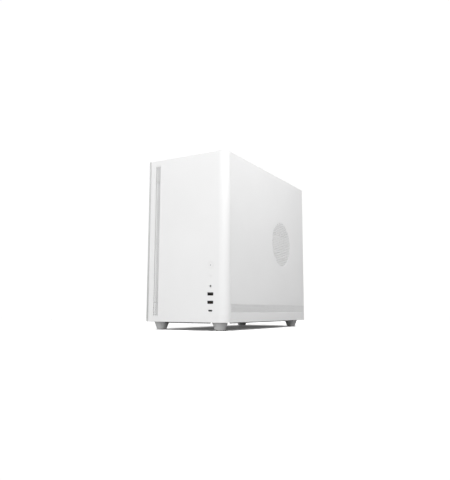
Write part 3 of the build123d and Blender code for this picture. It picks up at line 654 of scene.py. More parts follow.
# ------------------------------------------------------------------ front panel
def front_panel():
    m = M()
    T, RO = 1.6, 18.0
    x0, xa = -95.0, 100.0 - RO
    holes = [
        R(-81.5, -69.5, 28.0, 364.0, 0.4, 2),
        C(IO_X, Z_POWER, 7.85, 48), C(IO_X, Z_RESET, 3.1, 32), C(IO_X, Z_AUDIO, 3.2, 32),
        R(IO_X - 7.0, IO_X + 7.0, Z_USB_A1 - 3.2, Z_USB_A1 + 3.2, 0.6, 3),
        R(IO_X - 7.0, IO_X + 7.0, Z_USB_A2 - 3.2, Z_USB_A2 + 3.2, 0.6, 3),
        R(IO_X - 4.8, IO_X + 4.8, Z_USB_C - 1.8, Z_USB_C + 1.8, 1.75, 5),
    ]
    c = 0.35
    # flat face: outer skin, inner skin, hole walls
    out_l = [(x0 + c, ZB + c), (xa, ZB + c), (xa, ZT - c), (x0 + c, ZT - c)]
    inn_l = [(x0 + c, ZB + c), (xa, ZB + c), (xa, ZT - c), (x0 + c, ZT - c)]
    hin = [loop(h, 0.25) for h in holes]
    tris = tri_fill(out_l, hin)
    flat = out_l + [p for l in hin for p in l]
    m.add([(u, YF, v) for u, v in flat], tris)
    tris = tri_fill(inn_l, hin)
    m.add([(u, YF + T, v) for u, v in inn_l + [p for l in hin for p in l]], tris)
    for h in holes:
        a, b = loop(h, 0.25), loop(h, 0.0)
        k = len(a)
        vs = [(u, YF, v) for u, v in a] + [(u, YF + 0.25, v) for u, v in b] + [(u, YF + T - 0.25, v) for u, v in b] + [(u, YF + T, v) for u, v in a]
        fs = []
        for i in range(k):
            j = (i + 1) % k
            for q in range(3):
                fs.append([q * k + i, q * k + j, (q + 1) * k + j, (q + 1) * k + i])
        m.add(vs, fs)
    # section lines swept round the corner: outer at radius RO, inner at RO - T
    def sect(depth, n=14):
        """Plan points from the flat's end round the corner to the rear edge, at this depth in from the skin."""
        r = RO - depth
        pts = []
        for i in range(n + 1):
            a = math.radians(-90 + 90 * i / n)
            pts.append((xa + r * math.cos(a), YF + RO + r * math.sin(a)))
        pts.append((100 - depth, YP - c))
        return pts
    def strip(rows, close=False):
        k = len(rows[0])
        vs = [p for r in rows for p in r]
        fs = []
        for j in range(len(rows) - 1):
            for i in range(k - 1):
                fs.append([j * k + i, j * k + i + 1, (j + 1) * k + i + 1, (j + 1) * k + i])
        m.add(vs, fs)
    so, si, sc = sect(0.0), sect(T), sect(c)
    strip([[(x, y, ZB + c) for x, y in so], [(x, y, ZT - c) for x, y in so]])
    strip([[(x, y, ZB + c) for x, y in si], [(x, y, ZT - c) for x, y in si]])
    # top and bottom rims: chamfer then flange
    full_o = [(x0 + c, YF)] + so
    full_c = [(x0 + c, YF + c)] + sc
    strip([[(x, y, ZT - c) for x, y in full_o], [(x, y, ZT) for x, y in full_c]])
    strip([[(x, y, ZB + c) for x, y in full_o], [(x, y, ZB) for x, y in full_c]])
    # top flange: solid lid 1.6 thick
    def lid(pl, z0, z1, back):
        """Flat lid bounded by the chamfer line in front and `back` behind."""
        line = [(x, y) for x, y in pl]
        vs, fs = [], []
        k = len(line)
        for z in (z0, z1):
            for x, y in line:
                vs.append((x, min(y, back), z))
            for x, y in line:
                vs.append((x, back, z))
        for b in (0, 2 * k):
            for i in range(k - 1):
                fs.append([b + i, b + i + 1, b + k + i + 1, b + k + i])
        for i in range(k - 1):
            fs.append([k + i, k + i + 1, 3 * k + i + 1, 3 * k + i])
        fs.append([0, k, 3 * k, 2 * k])
        fs.append([k - 1, 2 * k - 1, 4 * k - 1, 3 * k - 1])
        m.add(vs, fs)
    lid(full_c, ZT, ZT - T, YP - 0.1)
    # bottom flange ends in front of the feet; the side skin's own edge is closed below
    lid([(x, min(y, -209.8)) for x, y in full_c if x < 96.5], ZB, ZB + T, -209.6)
    cbox(m, 98.4, 99.65, -209.6, YP - 0.1, ZB, ZB + 0.6, 0.1)
    # rear edge of the side return, and left return
    vs = [(100, YP - c, ZB + c), (100 - c, YP, ZB + c), (98.4, YP, ZB + c), (98.4, YP - c, ZB + c)]
    vs += [(p[0], p[1], ZT - c) for p in vs[:4]]
    m.add(vs, [[0, 1, 5, 4], [1, 2, 6, 5], [2, 3, 7, 6], [3, 2, 1, 0], [4, 5, 6, 7]])
    cbox(m, x0, x0 + T, YF + c, YP, ZB + c, ZT - c, 0.3)
    vs = [(x0 + c, YF, ZB + c), (x0, YF + c, ZB + c), (x0, YF + c, ZT - c), (x0 + c, YF, ZT - c)]
    m.add(vs, [[0, 1, 2, 3]])
    # ribs and snap posts on the inside
    for z in (60, 196, 330):
        for x in (-88, 86):
            rod(m, 3.0, YF + T - 0.1, -199, "y", (x, z), 0.6, 20)
            rod(m, 1.9, -199, -192.5, "y", (x, z), 0.8, 20)
    for z in (24, 150, 240, 368):
        cbox(m, -66, 52, YF + T - 0.1, YF + T + 3.0, z - 0.6, z + 0.6, 0.2)
    ob = make(m, "front_panel_shell", POWDER, "front_panel", ["front_panel"], smooth=32, merge=True, wn=True)
    return ob


def vent_strip():
    m = M()
    # staggered columns of round holes down the strip
    x0, x1 = -81.45, -69.55
    n, dx, pitch, r = 5, 2.28, 5.3, 1.25
    rows = int(332.0 / pitch)
    st = 196.0 - rows * pitch / 2
    hs = []
    for i in range(n):
        x = -75.5 + (i - (n - 1) / 2) * dx
        odd = i % 2
        for j in range(rows + 1 - odd):
            hs.append(C(x, st + (j + 0.5 * odd) * pitch, r, 14, 0.2))
    plate(m, R(x0, x1, 28.05, 363.95, 0.4, 2), hs, 0, 1.0, 0.1, lambda u, v, w: (u, YF + 0.05 + w, v))
    make(m, "front_vent_strip", POWDER, "front_panel", ["front_vent_mesh"])


def controls():
    m = M()
    # power cap: shallow dish with a lens well
    lathe(m, [(1.02, YF + 1.5), (1.02, YF + 0.2), (1.2, YF + 0.06), (5.6, YF + 0.06), (6.9, YF - 0.0), (7.52, YF + 0.05), (7.72, YF + 0.3), (7.72, YF + 1.75),
              (9.2, YF + 1.75), (9.2, YF + 3.2), (2.0, YF + 3.2), (2.0, -207.9), (1.8, -207.7), (0, -207.7)], 56, "y", (IO_X, 0, Z_POWER))
    lathe(m, [(1.02, YF + 1.5), (0, YF + 1.5)], 56, "y", (IO_X, 0, Z_POWER))
    make(m, "power_button_cap", PLAST_W, "power_button", ["power_button"], merge=True)
    m = M()
    lathe(m, [(0, YF + 0.12), (0.55, YF + 0.14), (0.97, YF + 0.3), (0.97, YF + 1.5), (0, YF + 1.5)], 28, "y", (IO_X, 0, Z_POWER))
    make(m, "power_light_lens", LENS, "power_button", ["power_led_lens"])
    m = M()
    lathe(m, [(0, YF + 0.10), (1.9, YF + 0.06), (2.75, YF + 0.04), (2.98, YF + 0.28), (2.98, YF + 1.75), (4.2, YF + 1.75), (4.2, YF + 3.0), (1.4, YF + 3.0), (1.4, -207.2), (0, -207.2)], 40, "y", (IO_X, 0, Z_RESET))
    make(m, "reset_button_cap", PLAST_W, "reset_button", ["reset_button"])
    # jack
    m = M()
    cbox(m, IO_X - 4, IO_X + 4, YF + 2.4, -199.7, Z_AUDIO - 4, Z_AUDIO + 4, 0.4, 1)
    lathe(m, [(1.8, YF + 13.5), (1.8, YF + 0.35), (2.05, YF + 0.1), (2.75, YF + 0.1), (3.0, YF + 0.35), (3.0, YF + 2.5), (1.8, YF + 2.5)], 40, "y", (IO_X, 0, Z_AUDIO), 0)
    lathe(m, [(1.79, YF + 0.9), (1.79, YF + 13.4), (0, YF + 13.4)], 30, "y", (IO_X, 0, Z_AUDIO), 1)
    for k, y in enumerate((YF + 4.0, YF + 7.5)):
        cbox(m, IO_X + 1.15, IO_X + 1.75, y, y + 1.4, Z_AUDIO - 0.7, Z_AUDIO + 0.7, 0.1, 2)
    make(m, "audio_jack_socket", [PLAST_W, PLAST_B, STEEL], "chassis", ["audio_jack"])
    # USB-A pair
    m = M()
    for z in (Z_USB_A1, Z_USB_A2):
        usb_a(m, lambda x, y, w, z=z: (IO_X + x, YF + 0.45 + w, z + y), 15.4, 1, True)
    make(m, "usb_a_sockets", [STEEL_K, PLAST_B, GOLD], "chassis", ["usb_a_ports"])
    m = M()
    f = lambda u, v, w: (IO_X + u, YF + 0.45 + w, Z_USB_C + v)
    shell_ring(m, R(-4.5, 4.5, -1.6, 1.6, 1.58, 6), 0.28, 0, 15.4, f, 0)
    shell_ring(m, R(-4.74, 4.74, -1.76, 1.76, 1.7, 6), 0.15, 0.1, 3.0, f, 1)
    plate(m, R(-4.3, 4.3, -1.4, 1.4, 1.38, 5), [], 10.5, 11.0, 0.05, f, 1)
    t = M()
    cbox(t, -3.3, 3.3, -0.35, 0.35, 1.0, 10.6, 0.12, 1)
    for k in range(6):
        cbox(t, -2.6 + k * 1.04 - 0.16, -2.6 + k * 1.04 + 0.16, -0.4, 0.4, 3.6, 8, 0.03, 2)
    m.xf(t, lambda p: f(*p))
    make(m, "usb_c_socket", [STEEL_K, PLAST_B, GOLD], "chassis", ["usb_c_port"])
    # socket board
    m = M()
    plate(m, R(IO_X - 10, IO_X + 10, 30, 146, 1.5, 4), [C(IO_X - 7, 34, 1.6, 20), C(IO_X - 7, 142, 1.6, 20)], 0, 1.6, 0.1, FN_XZ(-199.6), 0)
    for z in (Z_POWER, Z_RESET):
        cbox(m, IO_X - 3, IO_X + 3, -203.8, -199.6, z - 3, z + 3, 0.3, 1)
        cbox(m, IO_X - 3.05, IO_X + 3.05, -204.2, -203.8, z - 3.05, z + 3.05, 0.1, 2)
        rod(m, 1.2, -206.1, -204.2, "y", (IO_X, z), 0.3, 20, 1)
        for sx in (-1, 1):
            for sz in (-1, 1):
                cbox(m, IO_X + sx * 3 - 0.3, IO_X + sx * 3 + 0.3, -200.6, -199.5, z + sz * 2.2 - 0.3, z + sz * 2.2 + 0.3, 0.1, 2)
    random.seed(11)
    for k in range(26):
        x, z = IO_X + random.uniform(-8.5, 8.5), random.uniform(36, 140)
        if abs(x - IO_X) < 7.4 and any(abs(z - q) < 5 for q in (Z_POWER, Z_RESET, Z_AUDIO, Z_USB_A1, Z_USB_A2, Z_USB_C)):
            continue
        cbox(m, x - 0.8, x + 0.8, -198.0, -197.4, z - 0.4, z + 0.4, 0.08, 1 if k % 2 else 2)
    rod(m, 3.6, -198, -192.2, "y", (IO_X - 1.0, 84), 0.3, 24, 1)
    make(m, "front_socket_board", [PCB, PLAST_B, STEEL], "chassis", ["front_io_board"])


def shell_ring(m, shape, t, w0, w1, f, mi=0):
    """Thin tube of a closed shape, open both ends."""
    a, b = loop(shape, 0), loop(shape, -t)
    k = len(a)
    vs = [f(u, v, w0) for u, v in a] + [f(u, v, w1) for u, v in a] + [f(u, v, w0) for u, v in b] + [f(u, v, w1) for u, v in b]
    fs = []
    for i in range(k):
        j = (i + 1) % k
        fs += [[i, j, k + j, k + i], [2 * k + i, 3 * k + i, 3 * k + j, 2 * k + j], [i, 2 * k + i, 2 * k + j, j], [k + i, k + j, 3 * k + j, 3 * k + i]]
    m.add(vs, fs, mi)


def usb_a(m, f, deep, tongue=1, surround=False):
    """Socket mouth at w 0, opening 12.5 x 5.1, tongue in the upper half."""
    shell_ring(m, R(-6.57, 6.57, -2.86, 2.86, 0.4, 3), 0.3, 0, deep, f, 0)
    if surround:
        shell_ring(m, R(-6.94, 6.94, -3.14, 3.14, 0.55, 3), 0.36, 0.1, 3.0, f, tongue)
    t = M()
    cbox(t, -6.2, 6.2, -2.5, 2.5, deep - 1.2, deep - 0.6, 0.1, tongue)
    cbox(t, -5.55, 5.55, 0.3, 2.14, 0.9, deep - 1, 0.2, tongue)
    for k in range(4):
        x = -3.5 + k * 2.333
        cbox(t, x - 0.6, x + 0.6, 0.05, 0.35, 4.5, 11.0, 0.05, 2)
    # spring tabs of the shell
    for sx in (-3.4, 3.4):
        cbox(t, sx - 1.2, sx + 1.2, -2.58, -2.2, 3.0, 8.5, 0.1, 0)
    m.xf(t, lambda p: f(*p))


# ------------------------------------------------------------------ side, top, rear, bottom sheets
def right_panel():
    m = M()
    SK = 99.0
    f = FN_YZ(SK)
    plate(m, R(YP + 0.5, YR, ZB, ZT), [C(66.5, 206.0, 56.0, 128), R(YP + 2, YR - 2, 37.5, 54.7, 0.3, 2)], 0, 1.0, 0.3, f)
    cbox(m, 86, SK + 0.05, -187, 182, ZT - 4.6, ZT - 3.6, 0.2)
    cbox(m, 86, SK + 0.05, -187, 182, 20.2, 21.2, 0.2)
    plate(m, R(81, SK + 0.05, 22, ZT - 5, 0.5, 2), [C(THUMB_X, z, 2.0, 24) for z in THUMB_Z], 0, 1.0, 0.15, FN_XZ(Y_REAR + 0.2))
    # stiffening hooks under the top flange
    for y in (-150, -60, 30, 120):
        cbox(m, 86, 93, y - 8, y + 8, ZT - 8.0, ZT - 4.5, 0.3)
        cbox(m, 86, 93, y - 8, y + 8, 21.1, 24.5, 0.3)
    make(m, "right_panel_sheet", POWDER, "right_panel", ["right_side_panel"])
    # round vent: rings of staggered holes inside a plain rim
    m = M()
    p = 5.0
    hs = []
    rows = int(54 / (p * 0.866)) + 1
    for j in range(-rows, rows + 1):
        for i in range(-13, 14):
            y = (i + (0.5 if j % 2 else 0)) * p
            z = j * p * 0.866
            if math.hypot(y, z) < 53.2:
                hs.append(C(66.5 + y, 206.0 + z, 1.42, 12, 0.1))
    plate(m, C(66.5, 206.0, 55.95, 128), hs, 0, 0.85, 0.12, f)
    make(m, "round_vent_plate", POWDER, "right_panel", ["side_round_mesh"])
    m = M()
    hs = []
    py, pz = 4.6, 2.3
    y0, y1 = YP + 2.05, YR - 2.05
    ny = int((y1 - y0 - 4.0) / py)
    st = (y0 + y1) / 2 - ny * py / 2
    for j in range(7):
        z = 46.1 + (j - 3) * pz
        for i in range(ny + 1 - (j % 2)):
            hs.append(C(st + (i + (0.5 if j % 2 else 0)) * py, z, 1.1, 10, 0.1))
    plate(m, R(y0, y1, 37.55, 54.65, 0.3, 2), hs, 0, 0.85, 0.1, f)
    make(m, "side_strip_plate", POWDER, "right_panel", ["side_strip_mesh"])


def glass():
    m = M()
    plate(m, R(YF, YR, ZB, ZT, 1.0, 3), [C(0, 0, 1, 3)][:0], 0, 4.0, 0.5, FN_YZ(-100.0))
    ob = make(m, "side_glass", [GLASS, GEDGE], "glass", ["glass_panel"])
    # rim faces are ground, the two faces are clear
    for p in ob.data.polygons:
        if abs(p.normal.x) < 0.95:
            p.material_index = 1
    # printed border and studs, on the inside
    m = M()
    plate(m, R(YF + 1.0, YR - 1.0, ZB + 1.0, ZT - 1.0, 1.0, 3), [R(YF + 13, YR - 13, ZB + 13, ZT - 13, 4, 6)], 0, 0.12, 0.02, FN_YZ(-96.0))
    make(m, "glass_border", FRIT, "glass", ())
    m = M()
    for y, z in ((-184.0, 60.0), (-184.0, 367.5), (199.0, 60.0), (199.0, 367.5)):
        lathe(m, [(0, -95.88), (5.0, -95.88), (5.0, -95.4), (4.7, -95.2), (2.0, -95.2), (2.0, -94.6), (1.7, -94.2), (2.2, -93.8), (2.75, -93.2), (2.75, -92.5), (2.1, -91.0), (1.2, -90.3), (0, -90.1)],
              28, "x", (0, y, z))
    make(m, "glass_ball_studs", ZINC, "glass", ["glass_studs"])


def top():
    m = M()
    x0, x1, y0, y1 = -62.0, 62.0, -80.0, 200.0
    plate(m, R(-95.5, 98.8, YP + 0.5, YR, 0.4, 2), [R(x0, x1, y0, y1, 3, 6)], 0, 1.0, 0.3, FN_XY(375.0))
    holes = [R(x0 + 8, x1 - 8, y0 + 8, 52, 6, 6), R(x0 + 8, x1 - 8, 64, y1 - 8, 6, 6)]
    plate(m, R(x0 - 2, x1 + 2, y0 - 2, y1 + 2, 4, 6), holes, 0, 1.0, 0.2, FN_XY(372.8))
    shell_ring(m, R(x0 - 2, x1 + 2, y0 - 2, y1 + 2, 4, 6), 1.8, 373.7, 375.2, lambda u, v, w: (u, v, w))
    make(m, "top_sheet", POWDER, "chassis", ["top_panel"])
    # lift-off filter: moulded frame with a woven mesh and a finger notch
    m = M()
    fx0, fx1, fy0, fy1 = x0 + 0.4, x1 - 0.4, y0 + 0.4, y1 - 0.4
    plate(m, R(fx0, fx1, fy0, fy1, 2.6, 6), [R(fx0 + 6, fx1 - 6, fy0 + 6, 58, 3, 5), R(fx0 + 6, fx1 - 6, 62, fy1 - 6, 3, 5)], 0, 1.9, 0.35, FN_XY(373.95), 0)
    cbox(m, -14, 14, fy0 + 1.2, fy0 + 4.6, 375.7, 375.95, 0.1, 0)
    wires(m, fx0 + 5, fx1 - 5, fy0 + 5, fy1 - 5, 374.7, 1.6, 0.42, 1)
    make(m, "top_dust_filter", [PLAST_W, MESHM], "top_filter", ["top_filter"])


def wires(m, x0, x1, y0, y1, z, pitch, w, mi):
    """Fine net: two layers of flat wires."""
    n = int((x1 - x0) / pitch)
    for i in range(n + 1):
        x = x0 + (x1 - x0) * i / n
        cbox(m, x - w / 2, x + w / 2, y0, y1, z, z + 0.3, 0.05, mi)
    n = int((y1 - y0) / pitch)
    for i in range(n + 1):
        y = y0 + (y1 - y0) * i / n
        cbox(m, x0, x1, y - w / 2, y + w / 2, z + 0.2, z + 0.5, 0.05, mi)


def hexes(cx, cz, rad, p, r, keep=None):
    out = []
    rows = int(rad / (p * 0.866)) + 1
    n = int(rad / p) + 2
    for j in range(-rows, rows + 1):
        for i in range(-n, n + 1):
            u = (i + (0.5 if j % 2 else 0)) * p
            v = j * p * 0.866
            if keep(u, v) if keep else math.hypot(u, v) < rad - r:
                out.append(C(cx + u, cz + v, r, 6, math.pi / 6))
    return out


def rear():
    m = M()
    holes = [R(-70, 70, 24, 102, 1, 2), R(27, 71.4, 200, 358.75, 0.5, 2)]
    for z in SLOT_Z:
        holes.append(R(-45, 60, z - 6.3, z + 6.3, 1.0, 3))
    holes += hexes(RFX, RFZ, 57, 6.1, 2.85)
    for sx in (-1, 1):
        for sz in (-1, 1):
            holes.append(C(RFX + sx * 52.5, RFZ + sz * 52.5, 2.3, 20))
    for z in THUMB_Z:
        holes.append(C(THUMB_X, z, 2.2, 20))
    holes += hexes(-73, 160, 30, 6.1, 2.6, lambda u, v: abs(u) < 14 and abs(v) < 44)
    plate(m, R(-95, 98, 19.0, 374.8, 0.5, 2), holes, -1.0, 0.0, 0.2, FN_XZ(Y_REAR))
    plate(m, R(192, Y_REAR - 1, 20, 374.8, 1, 2), [C(199, 60, 3.3, 24), C(199, 367.5, 3.3, 24)], 0, 1.0, 0.2, FN_YZ(-95.0))
    cbox(m, 97, 98, 194, Y_REAR - 1, 24, 368, 0.2)
    # raised border round the board sockets
    for a, b, c_, d in ((25.6, 27, 198.5, 360.2), (71.4, 72.8, 198.5, 360.2)):
        cbox(m, a, b, Y_REAR - 0.2, Y_REAR + 0.6, c_, d, 0.25)
    for z in (199.0, 359.6):
        cbox(m, 26, 72.5, Y_REAR - 0.2, Y_REAR + 0.6, z - 0.6, z + 0.6, 0.25)
    make(m, "rear_sheet", POWDER_IN, "chassis", ["rear_panel"])
    m = M()
    for z in SLOT_Z[:2]:
        hs = []
        for i in range(13):
            hs.append(R(-40 + i * 7.4, -40 + i * 7.4 + 5.0, z - 4.5, z + 4.5, 2.4, 5))
        plate(m, R(-48, 62, z - 9.0, z + 9.0, 0.8, 2), hs, 0, 1.0, 0.15, FN_XZ(204.2))
    make(m, "slot_cover_plates", POWDER_IN, "chassis", ["slot_covers"])


def bottom():
    m = M()
    hs = [R(-48, 48, 76, 196, 4, 6)]
    plate(m, R(-93, 92, -206.8, -189, 1, 2), hexes(0, -198, 60, 7.2, 2.6, lambda u, v: abs(u) < 50 and abs(v) < 5), 0, 1.0, 0.15, FN_XY(19.0))
    plate(m, R(-95, 98, -190, Y_REAR - 1.1, 0.5, 2), hs + hexes(0, -70, 80, 7.2, 2.6, lambda u, v: abs(u) < 62 and abs(v) < 58), 0, 1.0, 0.15, FN_XY(19.0))
    for s in (-1, 1):
        cbox(m, s * 55.5, s * 52.6, 66, Y_REAR - 1.1, 14.6, 19.05, 0.3, 1)
        cbox(m, s * 49, s * 53, 66, Y_REAR - 1.1, 14.6, 15.8, 0.3, 1)
    # folded lip round the front and sides, coloured dark grey as painted shade: the dark line under the panels' bottom
    # edges
    def bar(sec, fn, a, b):
        k = len(sec)
        vs = [fn(p, z, a) for p, z in sec] + [fn(p, z, b) for p, z in sec]
        fs = [[i, (i + 1) % k, k + (i + 1) % k, k + i] for i in range(k)]
        m.add(vs, fs + [list(range(k)), [k + i for i in range(k)]], 2)
    bar([(-206.8, 19.05), (-206.8, 17.8), (-203.7, 15.15), (-203.3, 15.0), (-201.8, 15.0), (-201.6, 15.2), (-201.6, 19.05)], lambda p, z, a: (a, p, z), -57.0, 57.0)
    for s in (-1, 1):
        bar([(91.8, 19.05), (91.8, 17.8), (88.7, 15.15), (88.3, 15.0), (86.8, 15.0), (86.6, 15.2), (86.6, 19.05)], lambda p, z, a, s=s: (s * p, a, z), -174.0, 165.0)
    # the third material, dark grey, is painted shade on the lip bars
    make(m, "bottom_sheet", [POWDER_IN, PLAST_B, PLAST_G], "chassis", ["bottom_pan"])
    m = M()
    plate(m, R(-51.8, 51.8, 70, 206, 2, 4), [R(-46, -1.5, 76, 198, 3, 4), R(1.5, 46, 76, 198, 3, 4)], 0, 2.4, 0.35, FN_XY(16.2), 0)
    plate(m, R(-20, 20, 205.5, 212, 3, 5), [], 0, 2.4, 0.5, FN_XY(16.2), 0)
    for k in range(7):
        cbox(m, -12 + k * 4 - 0.6, -12 + k * 4 + 0.6, 207, 211, 15.95, 16.4, 0.15, 0)
    wires(m, -46.5, 46.5, 75.5, 198.5, 17.2, 1.6, 0.42, 1)
    make(m, "bottom_dust_filter", [PLAST_G, MESHM], "bottom_filter", ["bottom_filter"])
    m = M()
    for x in (-74.3, 74.3):
        for y in (-192.5, 183.5):
            lathe(m, [(3.2, 2.4), (3.2, 0.6), (3.6, 0.35), (8.7, 0.35), (9.4, 0.5), (9.95, 0.95), (10.4, 1.7), (16.2, 16.2), (16.5, 17.0), (16.5, 18.7), (16.2, 19.0), (0, 19.0)], 72, "z", (x, y, 0))
            lathe(m, [(3.2, 2.4), (0, 2.4)], 72, "z", (x, y, 0))
            ringwall(m, 4.4, 8.8, 0.0, 0.6, "z", (x, y), 0.2, 60, 1)
            rod(m, 2.9, 2.3, 3.8, "z", (x, y), 0.4, 24, 2)
    make(m, "case_feet", [FOOT, RUB, ZINC], "chassis", ["feet"], smooth=35)


def inner_sheets():
    m = M()
    hs = []
    for z in FFZ:
        hs.append(C(FFX, z, 56, 96))
        for sx in (-1, 1):
            for sz in (-1, 1):
                hs.append(C(FFX + sx * 52.5, z + sz * 52.5, 2.2, 20))
    hs.append(R(58, 74, 96, 116, 3, 5))
    for z in (60, 196, 330):
        hs.append(C(86, z, 2.2, 20))
    for z in (150, 180, 270, 300, 340):
        hs.append(R(50, 76, z - 2.5, z + 2.5, 2.4, 5))
    plate(m, R(-95, 98, 20.0, 374.8, 0.5, 2), hs, -1.0, 0.0, 0.2, FN_XZ(Y_FRAME))
    plate(m, R(Y_FRAME, -176, 20, 374.8, 0.5, 2), [C(-184, 60, 3.3, 24), C(-184, 367.5, 3.3, 24)], 0, 1.0, 0.2, FN_YZ(-95.0))
    for z in (34.0, 142.0):
        rod(m, 2.5, -197.9, -190.9, "y", (IO_X - 7, z), 0.3, 20)
    make(m, "front_frame_sheet", POWDER_IN, "chassis", ["front_frame"])
    m = M()
    hs = [R(CPU_Y - 62, CPU_Y + 58, CPU_Z - 58, CPU_Z + 56, 8, 6), R(-80, -48, 205, 320, 6, 6), R(-80, -48, 130, 180, 6, 6)]
    for y in (-170, -140, -110):
        for z in (150, 210, 270, 330):
            hs.append(R(y - 9, y + 9, z - 2.2, z + 2.2, 2.1, 5))
    plate(m, R(Y_FRAME + 0.2, Y_REAR - 1.2, 113.2, 373.8, 0.5, 2), hs, 0, 1.0, 0.2, FN_YZ(X_TRAY))
    make(m, "board_tray_sheet", POWDER_IN, "chassis", ["motherboard_tray"])
    m = M()
    hs = [R(-80, -46, -72, -46, 4, 5)]
    for i in range(12):
        for j in range(4):
            hs.append(R(-70 + i * 10.5, -62 + i * 10.5, 60 + j * 9, 64 + j * 9, 1.9, 5))
    plate(m, R(-90, 77.8, Y_FRAME + 0.2, Y_REAR - 1.2, 1, 2), hs, 0, 1.0, 0.2, FN_XY(112.0))
    hs = []
    for i in range(26):
        for j in range(2):
            hs.append(R(-20 + i * 8.2, -20 + i * 8.2 + 5.2, 88 + j * 9, 93 + j * 9, 2.3, 5))
    plate(m, R(Y_FRAME + 0.2, Y_REAR - 1.2, 20, 113.0, 1, 2), hs, 0, 1.0, 0.2, FN_YZ(-90.0))
    make(m, "psu_cover_sheet", POWDER_IN, "chassis", ["psu_shroud"])
    # rubber-lipped grommet round the cable slots
    m = M()
    for z0, z1 in ((205, 320), (130, 180)):
        shell_ring(m, R(-81, -47, z0 - 1, z1 + 1, 7, 6), 3.2, 76.8, 80.2, lambda u, v, w: (w, u, v))
    ob = make(m, "tray_grommets", RUB, "chassis", ())


# ------------------------------------------------------------------ fans
def fan_frame_m(size=120.0, bore=57.5, t=25.0):
    m = M()
    h = size / 2 - 7.5
    hs = [C(0, 0, bore, 96)] + [C(a * h, b * h, 2.2, 18) for a in (-1, 1) for b in (-1, 1)]
    plate(m, R(-size / 2, size / 2, -size / 2, size / 2, 6, 6), hs, 0, 3.8, 0.4)
    plate(m, R(-size / 2, size / 2, -size / 2, size / 2, 6, 6), hs, t - 3.8, t, 0.4)
    ringwall(m, bore, bore + 1.9, 3.4, t - 3.4, "z", (0, 0), 0.1, 96)
    for a in (-1, 1):
        for b in (-1, 1):
            ringwall(m, 2.25, 4.6, 3.5, t - 3.5, "z", (a * h, b * h), 0.2, 24)
            for w0, w1 in ((-0.1, 1.3), (t - 1.3, t + 0.0)):
                plate(m, R(a * h - 6.3, a * h + 6.3, b * h - 6.3, b * h + 6.3, 4.5, 5), [C(a * h, b * h, 2.6, 18)], max(w0, 0.0), w1 + (0.35 if w0 < 0 else 0.0), 0.2, None, 1)
    lathe(m, [(0, t - 3.2), (18.2, t - 3.2), (19, t - 2.6), (19, t - 0.5), (18.5, t), (0, t)], 56)
    lathe(m, [(0, t - 0.02), (14.5, t - 0.02), (14.7, t + 0.0), (0, t + 0.0)], 48, mi=1)
    for k in range(4):
        base = math.radians(45 + 90 * k)
        for side in (0,):
            pts = []
            for i in range(9):
                r = 17.5 + (bore + 0.8 - 17.5) * i / 8
                a = base + 0.25 * math.sin(math.pi * i / 8)
                pts.append((r * math.cos(a), r * math.sin(a)))
            vs, fs = [], []
            for i, (x, y) in enumerate(pts):
                j0, j1 = max(0, i - 1), min(8, i + 1)
                dx, dy = pts[j1][0] - pts[j0][0], pts[j1][1] - pts[j0][1]
                L_ = math.hypot(dx, dy)
                nx, ny = -dy / L_, dx / L_
                for q in ((1.5, t - 3.0), (1.9, t - 0.4), (1.5, t), (-1.5, t), (-1.9, t - 0.4), (-1.5, t - 3.0)):
                    vs.append((x + nx * q[0], y + ny * q[0], q[1]))
            for i in range(8):
                for q in range(6):
                    fs.append([i * 6 + q, i * 6 + (q + 1) % 6, (i + 1) * 6 + (q + 1) % 6, (i + 1) * 6 + q])
            fs.append(list(range(6)))
            fs.append([48 + q for q in range(6)])
            m.add(vs, fs)
    return m


def rotor_m(hub, tip, z0, z1, blades, sweep=0.55, twist=0.34, thick=1.5):
    m = M()
    r = 2.2
    prof = [(0, z0), (hub - 5.5, z0), (hub - 5.0, z0 + 0.25), (hub - 4.6, z0), (hub - r, z0)]
    for i in range(1, 6):
        a = math.radians(18 * i)
        prof.append((hub - r + r * math.sin(a), z0 + r - r * math.cos(a)))
    prof += [(hub, z1 - 0.4), (hub - 0.4, z1), (0, z1)]
    lathe(m, prof, 64)
    lathe(m, [(0, z0 - 0.05), (hub - 6.4, z0 - 0.05), (hub - 6.3, z0 + 0.02), (0, z0 + 0.02)], 48, mi=1)
    nr, nc = 9, 9
    H = (z1 - z0) / 2 - 0.8
    zm = (z0 + z1) / 2
    for b in range(blades):
        a0 = 2 * math.pi * b / blades
        vs = []
        for s in (0, 1):
            for i in range(nr + 1):
                fr = i / nr
                rr = hub - 0.6 + (tip - hub + 0.6) * fr
                span = (2 * math.pi / blades) * (0.80 - 0.14 * fr)
                for j in range(nc + 1):
                    t = j / nc - 0.5
                    edge = 1 - (2 * abs(t)) ** 3
                    ang = a0 + sweep * fr * fr * 0.6 + t * span
                    zz = zm + H * 0.96 * (2 * t) * (0.95 - 0.25 * fr) + 1.2 * math.cos(math.pi * t) * (1 - 2 * s * 0)
                    th = (0.25 + 0.75 * edge) * thick * (1 - 0.35 * fr)
                    zz += (th / 2) * (1 if s else -1)
                    vs.append((rr * math.cos(ang), rr * math.sin(ang), max(z0 + 0.2, min(z1 - 0.2, zz))))
        fs = []
        row = nc + 1
        tot = (nr + 1) * row
        for i in range(nr):
            for j in range(nc):
                q = [i * row + j, i * row + j + 1, (i + 1) * row + j + 1, (i + 1) * row + j]
                fs.append(q)
                fs.append([tot + k for k in reversed(q)])
        for i in range(nr):
            for j in (0, nc):
                a, b2 = i * row + j, (i + 1) * row + j
                fs.append([a, b2, tot + b2, tot + a])
        for j in range(nc):
            for i in (0, nr):
                a, b2 = i * row + j, i * row + j + 1
                fs.append([a, b2, tot + b2, tot + a])
        m.add(vs, fs)
    return m


def to_y(x, y, z):
    return lambda p: (x + p[0], y + p[2], z - p[1])


def to_z(x, y, z=0.0):
    return lambda p: (x + p[0], y + p[1], z + p[2])


